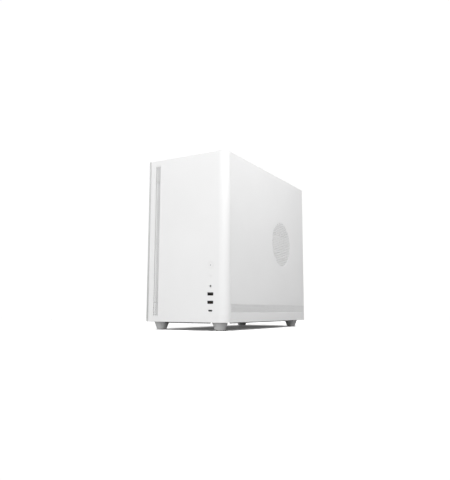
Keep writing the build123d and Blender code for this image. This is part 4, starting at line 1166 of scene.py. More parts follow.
def fans():
    fr = fan_frame_m()
    rt = rotor_m(18.5, 56.0, 1.5, 21.0, 9)
    for name, node, at in (
        ("cpu_fan_housing", "cpu_fan_frame", [(CFX, CPU_Y - 50, CPU_Z)]),
        ("rear_fan_housing", "rear_fan_frame", [(RFX, Y_REAR - 26, RFZ)]),
        ("front_fan_housings", "front_fan_frames", [(FFX, Y_FRAME, z) for z in FFZ]),
    ):
        m = M()
        for a in at:
            m.xf(fr, to_y(*a))
        make(m, name, [PLAST_W2, RUB], "chassis", [node])
    for name, node, body, a in (
        ("cpu_fan_blades", "cpu_fan_rotor", "cpu_fan", (CFX, CPU_Y - 50, CPU_Z)),
        ("rear_fan_blades", "rear_fan_rotor", "rear_fan", (RFX, Y_REAR - 26, RFZ)),
        ("front_fan_blades_lower", "front_fan_rotor_lower", "front_fan_lower", (FFX, Y_FRAME, FFZ[0])),
        ("front_fan_blades_upper", "front_fan_rotor_upper", "front_fan_upper", (FFX, Y_FRAME, FFZ[1])),
    ):
        m = M()
        m.xf(rt, to_y(*a))
        make(m, name, [PLAST_W2, PLAST_G], body, [node], smooth=40)
    gr = rotor_m(14.0, 43.0, 153.5, 166.6, 11, 0.7)
    for name, node, body, y in (("gpu_fan_blades_a", "gpu_fan_rotor_a", "gpu_fan_a", 27.0), ("gpu_fan_blades_b", "gpu_fan_rotor_b", "gpu_fan_b", 137.0)):
        m = M()
        m.xf(gr, to_z(4.5, y))
        make(m, name, [PLAST_W2, PLAST_G], body, [node], smooth=40)
    m = M()
    m.xf(rotor_m(18.0, 55.0, 22.5, 40.0, 7, 0.5), to_z(0, 136))
    make(m, "psu_fan_blades", [PLAST_B, PLAST_G], "psu_fan", ["psu_fan_rotor"], smooth=40)


# ------------------------------------------------------------------ cooler
def cooler():
    m = M()
    cbox(m, 57.5, 62, CPU_Y - 22, CPU_Y + 22, CPU_Z - 20, CPU_Z + 20, 0.5, 1)
    cbox(m, 53.5, 57.6, CPU_Y - 22, CPU_Y + 22, CPU_Z - 20, CPU_Z + 20, 0.8, 2)
    for s in (-1, 1):
        cbox(m, 55.5, 57.0, CPU_Y - 6, CPU_Y + 6, CPU_Z + s * 20, CPU_Z + s * 43, 0.4, 2)
        rod(m, 3.2, 52.5, 62, "x", (CPU_Y, CPU_Z + s * 46), 0.5, 24, 3)
        rod(m, 4.6, 50.5, 52.6, "x", (CPU_Y, CPU_Z + s * 46), 0.5, 24, 3)
    for y in (CPU_Y - 16.5, CPU_Y - 5.5, CPU_Y + 5.5, CPU_Y + 16.5):
        pth = fillet_path([(-84.2, y, CPU_Z - 38), (57.5, y, CPU_Z - 38), (57.5, y, CPU_Z + 38), (-84.2, y, CPU_Z + 38)], [12, 12], 30)
        pipe(m, pth, 3.0, 20, 0)
        for s in (-1, 1):
            lathe(m, [(3.0, -84.2), (2.6, -84.9), (1.5, -85.0), (0, -85.0)], 20, "x", (0, y, CPU_Z + s * 38), 0)
    make(m, "cooler_pipes_and_base", [NICKEL, NICKEL, ALU, STEEL], "chassis", ["cooler_base"])
    m = M()
    n = 47
    for k in range(n):
        x = -81.0 + k * (116.6 / (n - 1))
        hs = [C(y, CPU_Z + s * 38, 3.05, 14) for y in (CPU_Y - 16.5, CPU_Y - 5.5, CPU_Y + 5.5, CPU_Y + 16.5) for s in (-1, 1)]
        plate(m, R(CPU_Y - 24.5, CPU_Y + 24.5, CPU_Z - 59.5, CPU_Z + 59.5, 1.5, 2), hs, 0, 0.4, 0.05, FN_YZ(x))
        for s in (-1, 1):
            for zz in (-50, -22, 22, 50):
                cbox(m, x, x + 2.5 if k < n - 1 else x + 0.4, CPU_Y + s * 24.6 - 0.2, CPU_Y + s * 24.6 + 0.2, CPU_Z + zz - 3, CPU_Z + zz + 3, 0.05)
    hs = [C(y, CPU_Z + s * 38, 3.2, 24) for y in (CPU_Y - 16.5, CPU_Y - 5.5, CPU_Y + 5.5, CPU_Y + 16.5) for s in (-1, 1)]
    plate(m, R(CPU_Y - 25, CPU_Y + 25, CPU_Z - 60, CPU_Z + 60, 3, 5), hs, 0, 1.6, 0.4, FN_YZ(-83.2), 1)
    plate(m, R(CPU_Y - 16, CPU_Y + 16, CPU_Z - 22, CPU_Z + 22, 3, 5), [], -0.6, 0.2, 0.25, FN_YZ(-83.2), 1)
    make(m, "cooler_fin_stack", [ALU, ALU_W], "chassis", ["cooler_fins"])


# ------------------------------------------------------------------ graphics card
def gpu():
    m = M()
    GX0, GX1, GY0, GY1, GZ0 = -46.0, 55.0, -34.0, 198.0, 152.0
    x, y, z = GPU_Z, 0, 0
    plate(m, R(-42, 56, -28, 203, 1.5, 3), [], -0.8, 0.8, 0.1, FN_XY(GPU_Z), 0)
    cbox(m, 56, 67, 70, 151, GPU_Z - 0.8, GPU_Z + 0.8, 0.2, 0)
    for k in range(40):
        for s in (-1, 1):
            cbox(m, 58.5, 66.5, 72 + k * 1.95, 73.2 + k * 1.95, GPU_Z + s * 0.82 - 0.05, GPU_Z + s * 0.82 + 0.05, 0.02, 2)
    # backplate with a line of slots
    hs = [R(-30 + i * 12, -22 + i * 12, -18, -8, 2, 4) for i in range(6)] + [R(-30 + i * 12, -22 + i * 12, 0, 4, 1.9, 4) for i in range(6)]
    plate(m, R(-45, 54, -33, 200, 5, 5), hs, 1.6, 2.8, 0.35, FN_XY(GPU_Z), 1)
    for xx, yy in ((-38, -22), (46, -22), (-38, 90), (46, 90), (-38, 190), (46, 190)):
        rod(m, 2.4, GPU_Z + 2.7, GPU_Z + 3.6, "z", (xx, yy), 0.3, 20, 3)
    # bracket
    hs = [R(-38, 46, GPU_Z - 26, GPU_Z - 21, 2, 4)]
    holes = [R(30, 46, GPU_Z - 8.5, GPU_Z - 2.5, 0.8, 3), R(8, 24, GPU_Z - 8.5, GPU_Z - 2.5, 0.8, 3), R(-14, 2, GPU_Z - 8.5, GPU_Z - 2.5, 0.8, 3)]
    for i in range(10):
        holes.append(R(-40 + i * 9, -40 + i * 9 + 6.4, GPU_Z - 27, GPU_Z - 15, 2.0, 4))
    plate(m, R(-48, 62, GPU_Z - 29.3, GPU_Z + 9, 0.8, 2), holes, 0, 1.0, 0.15, FN_XZ(204.2), 3)
    for x0 in (30, 8, -14):
        f = lambda u, v, w, x0=x0: (x0 + 8 + u, 205.6 - w, GPU_Z - 5.5 + v)
        shell_ring(m, R(-7.8, 7.8, -2.9, 2.9, 0.8, 3), 0.5, 0, 10, f, 3)
        t = M()
        cbox(t, -7.4, 7.4, -2.5, 2.5, 9, 9.6, 0.1, 4)
        cbox(t, -6, 6, -0.8, 0.8, 1.2, 9.2, 0.2, 4)
        m.xf(t, lambda p: f(*p))
    # power socket
    cbox(m, -52, -42, -8, 12, GPU_Z - 0.8, GPU_Z + 8, 0.5, 4)
    random.seed(5)
    for k in range(30):
        xx, yy = random.uniform(-36, 50), random.uniform(-22, 60)
        s = random.choice((0.8, 1.2, 2.0))
        cbox(m, xx - s, xx + s, yy - s / 2, yy + s / 2, GPU_Z - 0.8 - s * 0.5, GPU_Z - 0.7, 0.1, 5)
    make(m, "graphics_board", [PCB, ALU_W, GOLD, STEEL, PLAST_B, CHIP], "chassis", ["gpu_board"])
    m = M()
    # shroud: face plate with two fan openings, side rails with windows
    plate(m, R(GX0, GX1, GY0, GY1, 9, 8), [C(4.5, 27.0, 45, 96), C(4.5, 137.0, 45, 96)], 0, 2.4, 0.5, FN_XY(GZ0), 0)
    for yc in (27.0, 137.0):
        ringwall(m, 44.2, 45.6, GZ0 + 0.3, GZ0 + 15.0, "z", (4.5, yc), 0.3, 96, 0)
        # motor carrier
        rod(m, 13.0, 166.8, 169.4, "z", (4.5, yc), 0.4, 48, 1)
        for k in range(3):
            a = math.radians(30 + 120 * k)
            q = M()
            cbox(q, 12, 45, -2, 2, 167.2, 169.2, 0.3, 1)
            m.xf(q, lambda p, a=a, yc=yc: (4.5 + p[0] * math.cos(a) - p[1] * math.sin(a), yc + p[0] * math.sin(a) + p[1] * math.cos(a), p[2]))
    wall = R(GY0, GY1, GZ0, 190.2, 3, 5)
    hs = [R(-18, 70, 172, 184, 5, 6), R(94, 182, 172, 184, 5, 6)]
    for xx in (GX0, GX1 - 2):
        plate(m, R(GY0 + 6, GY1 - 6, GZ0 + 0.5, 190.2, 2.5, 5), hs, 0, 2.0, 0.4, FN_YZ(xx), 0)
    plate(m, R(GX0 + 6, GX1 - 6, GZ0 + 0.5, 190.2, 2.5, 5), [R(-30 + i * 14, -22 + i * 14, 168, 184, 3.9, 6) for i in range(6)], 0, 2.0, 0.4, FN_XZ(GY0), 0)
    # rounded corner posts of the shroud
    for cx, cy, a0 in ((GX0 + 8, GY0 + 8, 180), (GX1 - 8, GY0 + 8, 270), (GX1 - 8, GY1 - 8, 0), (GX0 + 8, GY1 - 8, 90)):
        vs, fs = [], []
        n = 8
        for i in range(n + 1):
            a = math.radians(a0 + 90 * i / n)
            for r, zz in ((8, GZ0 + 1.0), (8, 190.2), (6, 190.2), (6, GZ0 + 1.0)):
                vs.append((cx + r * math.cos(a), cy + r * math.sin(a), zz))
        for i in range(n):
            for q in range(4):
                fs.append([i * 4 + q, i * 4 + (q + 1) % 4, (i + 1) * 4 + (q + 1) % 4, (i + 1) * 4 + q])
        fs.append([0, 1, 2, 3])
        fs.append([n * 4 + q for q in range(4)])
        m.add(vs, fs, 0)
    # grey accent bars on the face
    for yc in (82.0,):
        for k in range(5):
            cbox(m, -34 + k * 16, -24 + k * 16, yc - 3, yc + 3, GZ0 - 0.0, GZ0 + 0.6, 0.2, 1)
    make(m, "graphics_shroud", [PLAST_W2, PLAST_G], "chassis", ["gpu_shroud"])
    m = M()
    n = 96
    for k in range(n):
        yy = GY0 + 4 + k * (GY1 - GY0 - 10) / (n - 1)
        cbox(m, GX0 + 3.2, GX1 - 3.2, yy, yy + 0.45, 169.8, 188.0, 0.08, 0)
    cbox(m, GX0 + 4, GX1 - 4, GY0 + 5, GY1 - 6, 187.9, 189.6, 0.2, 0)
    for xx in (-32, -18, 22, 36):
        pth = fillet_path([(xx, GY0 + 6, 178), (xx, GY1 - 8, 178)], [], 200)
        pipe(m, pth, 3.0, 16, 1)
    cbox(m, -16, 24, 66, 106, 189.5, 190.4, 0.2, 1)
    make(m, "graphics_fin_stack", [ALU, NICKEL], "chassis", ["gpu_heatsink"])


# ------------------------------------------------------------------ board
def board():
    holes = [(PCB_Y1 - dy, Z_PCB0 + dz) for dy in (10.2, 165.1, 237.5) for dz in (6.4, 86.0, 238.8)]
    m = M()
    plate(m, R(PCB_Y0, PCB_Y1, Z_PCB0, Z_PCB0 + BOARD, 1, 2), [C(y, z, 2.0, 20) for y, z in holes], 0, 1.6, 0.12, FN_YZ(X_PCB), 0)
    for y, z in holes:
        ringwall(m, 2.05, 3.6, X_PCB - 0.06, X_PCB + 0.2, "x", (y, z), 0.02, 24, 2)
    busy = [(CPU_Y - 34, CPU_Y + 34, CPU_Z - 40, CPU_Z + 40), (60, 174, 330, 366), (146, 176, 232, 366), (184, 206, 196, 366), (14, 40, 210, 360),
            (-38, -24, 255, 320), (-38, -24, 218, 246), (-28, 28, 128, 184), (60, 160, 185, 197), (60, 160, 145, 157), (-38, -30, 120, 366)]
    def clear(y0, y1, z0, z1):
        return all(y1 < a or y0 > b or z1 < c or z0 > d for a, b, c, d in busy) and all(math.hypot((y0 + y1) / 2 - hy, (z0 + z1) / 2 - hz) > 7 for hy, hz in holes)
    # chokes beside the processor
    for k in range(7):
        y0 = 66 + k * 11.5
        cbox(m, 63, X_PCB, y0, y0 + 8, 322.5, 330.5, 0.8, 3)
        rod(m, 3.0, 64, X_PCB, "x", (y0 + 4, 317.5), 0.4, 20, 4)
    for k in range(6):
        z0 = 240 + k * 13
        cbox(m, 63, X_PCB, 137.5, 145.5, z0, z0 + 8, 0.8, 3)
        rod(m, 3.0, 64, X_PCB, "x", (134, z0 + 4), 0.4, 20, 4)
    # audio capacitors, battery, chips, headers
    for k in range(5):
        rod(m, 3.2, 60, X_PCB, "x", (176 - k * 8, 134), 0.5, 20, 4)
        busy.append((172 - k * 8, 180 - k * 8, 130, 138))
    rod(m, 10.0, 66.4, X_PCB, "x", (48, 172), 0.4, 40, 5)
    ringwall(m, 10.1, 11.4, 66.0, X_PCB, "x", (48, 172), 0.2, 40, 3)
    busy.append((36, 60, 160, 184))
    for y, z, a, b, h in ((120, 168, 14, 14, 1.2), (95, 205, 12, 12, 1.0), (40, 196, 10, 6, 1.2), (-10, 205, 16, 16, 1.2), (160, 215, 10, 10, 1.0), (50, 130, 9, 5, 1.5), (0, 330, 8, 8, 1.0), (-12, 250, 7, 10, 1.0)):
        cbox(m, X_PCB - h, X_PCB, y - a / 2, y + a / 2, z - b / 2, z + b / 2, 0.2, 3)
        busy.append((y - a / 2 - 1, y + a / 2 + 1, z - b / 2 - 1, z + b / 2 + 1))
        for i in range(int(a / 1.2)):
            for s in (-1, 1):
                yy = y - a / 2 + 0.8 + i * 1.2
                cbox(m, X_PCB - 0.3, X_PCB - 0.02, yy, yy + 0.5, z + s * (b / 2 + 0.6) - 0.5, z + s * (b / 2 + 0.6) + 0.5, 0.04, 2)
    # M.2 drive under its own plate, between the expansion slots
    cbox(m, 63.5, 69, 70, 150, 161, 183, 0.8, 6)
    for i in range(9):
        cbox(m, 62.6, 63.8, 76 + i * 8, 80 + i * 8, 163, 181, 0.4, 6)
    busy.append((66, 154, 158, 187))
    # pin headers along the lower edge
    for y0, n in ((150, 5), (120, 5), (98, 4), (66, 5), (44, 5)):
        cbox(m, 67.6, X_PCB, y0, y0 + n * 2.54, 123.6, 128.7, 0.2, 3)
        for i in range(n):
            for q in range(2):
                cbox(m, 61.5, 67.7, y0 + 0.95 + i * 2.54, y0 + 1.6 + i * 2.54, 124.6 + q * 2.54, 125.2 + q * 2.54, 0.1, 2)
        busy.append((y0 - 1, y0 + n * 2.54 + 1, 122, 130))
    # drive sockets at the front edge
    for k in range(2):
        cbox(m, 56, X_PCB, -37, -25, 140 + k * 18, 154 + k * 18, 0.6, 3)
        cbox(m, 55.8, 58, -35, -27, 142 + k * 18, 152 + k * 18, 0.3, 7)
    # small parts
    random.seed(3)
    n = 0
    while n < 420:
        y, z = random.uniform(PCB_Y0 + 3, PCB_Y1 - 4), random.uniform(Z_PCB0 + 3, Z_PCB0 + BOARD - 3)
        a, b, h, k = random.choice(((1.0, 0.5, 0.5, 7), (1.6, 0.8, 0.6, 3), (0.5, 1.0, 0.5, 7), (0.8, 1.6, 0.6, 8), (2.2, 1.4, 0.9, 3), (3.0, 1.6, 1.2, 3)))
        if not clear(y - a, y + a, z - b, z + b):
            continue
        n += 1
        cbox(m, X_PCB - h, X_PCB, y - a, y + a, z - b, z + b, 0.08, k)
    make(m, "main_board", [PCB, PCB, GOLD, CHIP, CAPM, STEEL, ALU_W, PLAST_G, BRASS], "chassis", ["motherboard_pcb"])
    # processor socket: frame, lid and load lever
    m = M()
    cbox(m, 66.5, X_PCB, CPU_Y - 26, CPU_Y + 26, CPU_Z - 29, CPU_Z + 29, 0.8, 1)
    plate(m, R(CPU_Y - 24, CPU_Y + 24, CPU_Z - 27, CPU_Z + 27, 3, 4), [R(CPU_Y - 17, CPU_Y + 17, CPU_Z - 17, CPU_Z + 17, 2, 4)], 0, 1.2, 0.2, FN_YZ(65.4), 0)
    cbox(m, 62.0, 66.6, CPU_Y - 16.5, CPU_Y + 16.5, CPU_Z - 16.5, CPU_Z + 16.5, 1.0, 2)
    pipe(m, fillet_path([(65.2, CPU_Y + 25.2, CPU_Z - 27), (65.2, CPU_Y + 25.2, CPU_Z + 24), (65.2, CPU_Y + 21, CPU_Z + 27)], [2.5], 20), 0.8, 10, 0)
    make(m, "processor_socket", [STEEL, PLAST_B, NICKEL], "chassis", ["cpu_socket"])
    # memory
    m = M()
    for y in (22.5, 32.0):
        for a, b in ((-3.2, -0.8), (0.8, 3.2)):
            cbox(m, 62, X_PCB, y + a, y + b, 214, 352, 0.3, 0)
        cbox(m, 67.4, X_PCB, y - 1, y + 1, 214, 352, 0.2, 0)
        for z in (214, 350.2):
            cbox(m, 61.5, X_PCB, y - 3.2, y + 3.2, z, z + 1.8, 0.3, 0)
    make(m, "memory_slot_bodies", PLAST_B, "chassis", ["dimm_slots"])
    m = M()
    for y in (22.5, 32.0):
        cbox(m, 58, 67.2, y - 0.6, y + 0.6, 217, 349, 0.1, 1)
        for k in range(60):
            for s in (-1, 1):
                cbox(m, 61.9, 66.6, y + s * 0.62 - 0.03, y + s * 0.62 + 0.03, 219 + k * 2.1, 220.4 + k * 2.1, 0.01, 2)
        cbox(m, 38, 61.4, y - 3.6, y - 0.7, 216.5, 349.5, 0.7, 0)
        cbox(m, 38, 61.4, y + 0.7, y + 3.6, 216.5, 349.5, 0.7, 0)
        cbox(m, 37.6, 42, y - 3.2, y + 3.2, 217, 349, 0.6, 0)
        for k in range(11):
            z0 = 222 + k * 11.4
            cbox(m, 34.0, 38.6, y - 3.0, y + 3.0, z0, z0 + 7.6, 0.9, 0)
        for s in (-1, 1):
            for k in range(3):
                cbox(m, 44 + k * 5, 46 + k * 5, y + s * 3.5 - 0.25, y + s * 3.5 + 0.25, 230, 336, 0.15, 3)
    make(m, "memory_sticks", [ALU_W, PCB, GOLD, PLAST_G], "chassis", ["memory_modules"])
    for name, node, body, y in (("memory_latch_1", "dimm_latch_a", "latch_a", 22.5), ("memory_latch_2", "dimm_latch_b", "latch_b", 32.0)):
        m = M()
        cbox(m, 57.4, 67.4, y - 2.5, y + 2.5, 352.6, 356.2, 0.8)
        cbox(m, 55.6, 58.8, y - 2.5, y + 2.5, 352.6, 360.2, 0.9)
        cbox(m, 55.5, 56.2, y - 2.2, y + 2.2, 356.5, 357.3, 0.2)
        cbox(m, 55.5, 56.2, y - 2.2, y + 2.2, 358.2, 359.0, 0.2)
        rod(m, 1.2, y - 3.0, y + 3.0, "y", (66.4, 354.4), 0.2, 16)
        make(m, name, PLAST_G, body, [node])
    # regulator coolers: finned blocks with a sloped cover
    m = M()
    for k in range(17):
        y0 = 62 + k * 5.2
        cbox(m, 45.5, 66.5, y0, y0 + 3.0, 336.4, 355.8, 0.6, 0)
    cbox(m, 62, 69.9, 62, 148, 336, 356, 0.8, 0)
    cbox(m, 44.2, 48.5, 62, 112, 337, 355, 1.4, 1)
    for k in range(14):
        z0 = 237 + k * 6.7
        cbox(m, 42.5, 66, 150.4, 171.6, z0, z0 + 3.8, 0.7, 0)
    cbox(m, 60, 69.9, 150, 172, 236, 330, 0.8, 0)
    cbox(m, 40.2, 44.5, 151, 171, 262, 330, 1.4, 1)
    make(m, "regulator_coolers", [ALU, ALU_W], "chassis", ["vrm_heatsinks"])
    m = M()
    plate(m, R(-26, 26, 131, 181, 5, 6), [], 0, 5.6, 0.8, FN_YZ(64.3), 0)
    plate(m, R(-22, 22, 135, 177, 4, 6), [], -1.9, 0.3, 0.6, FN_YZ(64.3), 1)
    for k in range(8):
        cbox(m, 62.05, 62.6, -18 + k * 5, -16 + k * 5, 139, 173, 0.2, 0)
    make(m, "chipset_cooler", [ALU_W, ALU], "chassis", ["chipset_heatsink"])
    m = M()
    for z in (SLOT_Z[3], SLOT_Z[1]):
        cbox(m, 59, X_PCB, 66, 155, z - 3.7, z - 1.0, 0.4, 0)
        cbox(m, 59, X_PCB, 66, 155, z + 1.0, z + 3.7, 0.4, 0)
        cbox(m, 67.4, X_PCB, 66, 155, z - 1.2, z + 1.2, 0.1, 0)
        cbox(m, 58.9, 69, 66, 68.2, z - 3.7, z + 3.7, 0.4, 1)
        cbox(m, 58.9, 69, 152.8, 155, z - 3.7, z + 3.7, 0.4, 1)
        for s in (-1, 1):
            plate(m, R(66.5, 154.5, 60.0, 69.5, 0.5, 2), [], 0, 0.35, 0.05, lambda u, v, w, z=z, s=s: (v, u, z + s * 3.75 + (w - 0.17)), 2)
        for k in range(36):
            for s in (-1, 1):
                cbox(m, 59.6, 61.5, 70 + k * 2.3, 71 + k * 2.3, z + s * 1.05 - 0.1, z + s * 1.05 + 0.1, 0.03, 3)
    make(m, "expansion_slot_bodies", [PLAST_B, PLAST_G, STEEL, GOLD], "chassis", ["pcie_slots"])
    m = M()
    for a in ((57, PCB_Y0 + 1, PCB_Y0 + 11, 262, 314, 12, 2), (58, 150, 168, 357.5, 365.5, 2, 4)):
        x0, y0, y1, z0, z1, nz, ny = a
        cbox(m, x0 + 2, X_PCB, y0, y1, z0, z1, 0.5, 0)
        for i in range(ny):
            for j in range(nz):
                yy0 = y0 + 0.4 + i * (y1 - y0 - 0.8) / ny
                zz0 = z0 + 0.4 + j * (z1 - z0 - 0.8) / nz
                f = lambda u, v, w: (x0 + w, u, v)
                shell_ring(m, R(yy0 + 0.1, yy0 + (y1 - y0 - 0.8) / ny - 0.1, zz0 + 0.1, zz0 + (z1 - z0 - 0.8) / nz - 0.1, 0.5, 2), 0.5, 0, 2.2, f, 0)
                rod(m, 0.5, x0 + 0.3, x0 + 2.5, "x", ((yy0 + (y1 - y0 - 0.8) / ny / 2), zz0 + (z1 - z0 - 0.8) / nz / 2), 0.1, 10, 1)
        cbox(m, x0 - 0.5, X_PCB, y0 + (y1 - y0) / 2 - 1, y0 + (y1 - y0) / 2 + 1, z1 - 0.2, z1 + 1.0, 0.3, 0)
    cbox(m, 61.5, X_PCB, PCB_Y0 + 1, PCB_Y0 + 6, 222, 242, 0.4, 2)
    make(m, "board_power_headers", [PLAST_B, BRASS, PLAST_G], "chassis", ["board_power_sockets"])


def rear_io():
    m = M()
    ports_usb, ports = [], []
    holes = []
    def f(x0, z0, wx, wz, r=0.3):
        holes.append(R(x0, x0 + wx, z0, z0 + wz, r, 2))
    for z0 in (212, 262):
        for x0 in (47.5, 57.5):
            f(x0, z0, 5.8, 13.2)
    f(53.6, 284, 15.8, 16)
    for z0 in (306, 328):
        f(57.5, z0, 5.8, 15.6, 1.2)
    for x0 in (36, 49, 62):
        holes.append(C(x0, 236, 3.8, 28))
    # a small vent field in the shield
    hx = hexes(38, 320, 40, 4.2, 1.7, lambda u, v: abs(u) < 6 and abs(v) < 24)
    plate(m, R(27.2, 69.6, 200.2, 358.5, 1, 3), holes + hx, -1.0, 0, 0.15, FN_XZ(Y_REAR), 0)
    # stamped rib
    cbox(m, 29, 30.4, Y_REAR - 0.2, Y_REAR + 0.5, 204, 355, 0.3, 0)
    for z0 in (212, 262):
        for x0 in (47.5, 57.5):
            # the socket stands on end: width along Z
            g = lambda u, v, w, x0=x0, z0=z0: (x0 + 2.9 - v, Y_REAR + 1.0 - w, z0 + 6.6 + u)
            usb_a(m, g, 15.0, 3)
    g = lambda u, v, w: (53.6 + 7.9 + u, Y_REAR + 1.0 - w, 292 + v)
    shell_ring(m, R(-7.9, 7.9, -8, 8, 0.4, 2), 1.0, 0, 19, g, 0)
    t = M()
    cbox(t, -6.9, 6.9, -7, 7, 17, 18.5, 0.1, 1)
    for s in (-1, 1):
        cbox(t, s * 6.9, s * 5.7, -7, 7, 0.2, 17, 0.15, 1)
    cbox(t, -6.9, 6.9, 5.6, 7, 0.2, 17, 0.15, 1)
    for k in range(8):
        cbox(t, -4.2 + k * 1.2 - 0.2, -4.2 + k * 1.2 + 0.2, -6.4, -6.0, 1.5, 12, 0.05, 2)
    cbox(t, -5.6, -3.2, 5.7, 6.9, -0.05, 0.5, 0.1, 4)
    cbox(t, 3.2, 5.6, 5.7, 6.9, -0.05, 0.5, 0.1, 5)
    m.xf(t, lambda p: g(*p))
    for z0 in (306, 328):
        g = lambda u, v, w, z0=z0: (60.4 + u, Y_REAR + 1.0 - w, z0 + 7.8 + v)
        shell_ring(m, R(-2.9, 2.9, -7.8, 7.8, 1.2, 3), 0.4, 0, 12, g, 0)
        t = M()
        cbox(t, -2.5, 2.5, -7.2, 7.2, 10.5, 11.4, 0.1, 1)
        cbox(t, -0.9, 0.9, -5.6, 5.6, 1.4, 10.6, 0.2, 1)
        m.xf(t, lambda p: g(*p))
    for x0, k in ((36, 4), (49, 6), (62, 3)):
        lathe(m, [(1.8, Y_REAR - 10), (1.8, Y_REAR + 0.9), (2.1, Y_REAR + 1.2), (3.3, Y_REAR + 1.2), (3.6, Y_REAR + 0.9), (3.6, Y_REAR - 11.8), (0, Y_REAR - 11.8)], 32, "y", (x0, 0, 236), k)
        lathe(m, [(1.8, Y_REAR - 10), (0, Y_REAR - 10)], 32, "y", (x0, 0, 236), 1)
    # bodies of the sockets, seen from inside
    cbox(m, 44, 69.5, 187.6, 205.9, 206, 228, 0.6, 1)
    cbox(m, 44, 69.5, 189.6, 205.9, 258, 280, 0.6, 0)
    cbox(m, 53, 69.5, 188.6, 205.9, 282, 302, 0.6, 0)
    cbox(m, 55, 69.5, 191.6, 205.9, 304, 346, 0.6, 1)
    cbox(m, 32, 69.5, 193.6, 205.9, 231, 241, 0.6, 1)
    make(m, "rear_socket_block", [STEEL, PLAST_B, GOLD, BLUE, GREEN, BRASS, PINK], "chassis", ["rear_io_ports"])


# ------------------------------------------------------------------ power supply
def psu():
    m = M()
    X0, X1, Y0, Y1, Z0, Z1 = -75.0, 75.0, 66.5, 206.5, 20.0, 106.0
    hx = hexes(-28, 64, 60, 6.4, 2.9, lambda u, v: abs(u) < 38 and abs(v) < 34)
    back = hx + [R(26, 54, 56, 76, 0.6, 2), R(1, 15, 56, 76, 0.6, 2)]
    plate(m, R(X0, X1, Z0, Z1, 1, 3), back, -1.0, 0, 0.25, FN_XZ(Y1), 0)
    plate(m, R(X0, X1, Z0, Z1, 1, 3), [R(51, 69, 60, 86, 2, 4), R(-49, -31, 60, 86, 2, 4)], 0, 1.0, 0.25, FN_XZ(Y0), 0)
    for x in (X0, X1 - 1):
        plate(m, R(Y0 + 0.5, Y1 - 0.5, Z0, Z1, 1, 3), [], 0, 1.0, 0.25, FN_YZ(x), 0)
    plate(m, R(X0 + 0.5, X1 - 0.5, Y0 + 0.5, Y1 - 0.5, 1, 3), [C(0, 136, 58, 96)], 0, 1.0, 0.2, FN_XY(Z0), 0)
    plate(m, R(X0 + 0.5, X1 - 0.5, Y0 + 0.5, Y1 - 0.5, 1, 3), [], 0, 1.0, 0.25, FN_XY(Z1 - 1), 0)
    # wire finger guard under the fan
    for r in (12, 20, 28, 36, 44, 52):
        pts = [Vector((r * math.cos(a), 136 + r * math.sin(a), 21.2)) for a in [2 * math.pi * k / 64 for k in range(65)]]
        pipe(m, pts, 0.8, 8, 1, False)
    for k in range(4):
        a = math.radians(45 + 90 * k)
        pipe(m, [Vector((10 * math.cos(a), 136 + 10 * math.sin(a), 22.0)), Vector((62 * math.cos(a), 136 + 62 * math.sin(a), 22.0))], 0.9, 8, 1)
    rod(m, 11, 20.6, 21.6, "z", (0, 136), 0.3, 40, 1)
    rod(m, 17, 42, 46, "z", (0, 136), 0.6, 48, 2)
    for k in range(4):
        a = math.radians(45 + 90 * k)
        q = M()
        cbox(q, 16, 70, -2, 2, 42.5, 45.5, 0.4, 2)
        m.xf(q, lambda p, a=a: (p[0] * math.cos(a) - p[1] * math.sin(a), 136 + p[0] * math.sin(a) + p[1] * math.cos(a), p[2]))
    # grommets at the cable outlets
    for x in (60, -40):
        shell_ring(m, R(x - 9, x + 9, 60, 86, 2, 4), 2.2, Y0 - 0.6, Y0 + 2, lambda u, v, w: (u, w, v), 2)
    make(m, "power_supply_case", [STEEL_B, ZINC, PLAST_B], "chassis", ["psu_housing"])
    m = M()
    IX, IZ, SX = 40.0, 66.0, 8.0
    f = lambda u, v, w: (u, Y1 + w, v)
    plate(m, R(SX - 9, IX + 17, IZ - 12, IZ + 12, 2, 4), [R(IX - 12.2, IX + 12.2, IZ - 8.3, IZ + 8.3, 3.2, 1), R(SX - 5.3, SX + 5.3, IZ - 8.3, IZ + 8.3, 0.6, 2), C(SX + 12.5, IZ, 1.2, 16)][:2], 0.0, 1.6, 0.3, f, 0)
    for shp in (R(IX - 12.2, IX + 12.2, IZ - 8.3, IZ + 8.3, 3.2, 1), R(SX - 5.3, SX + 5.3, IZ - 8.3, IZ + 8.3, 0.6, 2)):
        shell_ring(m, tuple([shp[0], shp[1] - 1.2, shp[2] + 1.2, shp[3] - 1.2, shp[4] + 1.2, shp[5], shp[6]]), 1.15, Y1 - 14.5, Y1 + 0.2, lambda u, v, w: (u, w, v), 0)
    cbox(m, IX - 13.3, IX + 13.3, Y1 - 16.5, Y1 - 14.4, IZ - 9.4, IZ + 9.4, 0.3, 0)
    cbox(m, SX - 6.4, SX + 6.4, Y1 - 13.0, Y1 - 11.0, IZ - 9.4, IZ + 9.4, 0.3, 0)
    for dx, dz in ((-7, -1.5), (0, 2.5), (7, -1.5)):
        cbox(m, IX + dx - 1, IX + dx + 1, Y1 - 15, Y1 - 4.5, IZ + dz - 2, IZ + dz + 2, 0.5, 1)
    make(m, "mains_inlet_block", [PLAST_B, BRASS], "chassis", ["psu_inlet"])
    # rocker
    m = M()
    SW_Y = Y1 - 4.0
    prof = [(-3.5, -3), (-1.5, -7.0), (5.6, -6.6), (6.2, -6.0), (4.9, -2.5), (4.2, 0), (4.3, 3), (4.6, 6.8), (4.0, 7.4), (-1.5, 7.4), (-3.5, 3)]
    vs, fs = [], []
    k = len(prof)
    for x in (SX - 4.9, SX + 4.9):
        for y, z in prof:
            vs.append((x, SW_Y + y, IZ + z))
    fs = [list(range(k)), [k + i for i in range(k)]]
    for i in range(k):
        j = (i + 1) % k
        fs.append([i, j, k + j, k + i])
    m.add(vs, fs, 0)
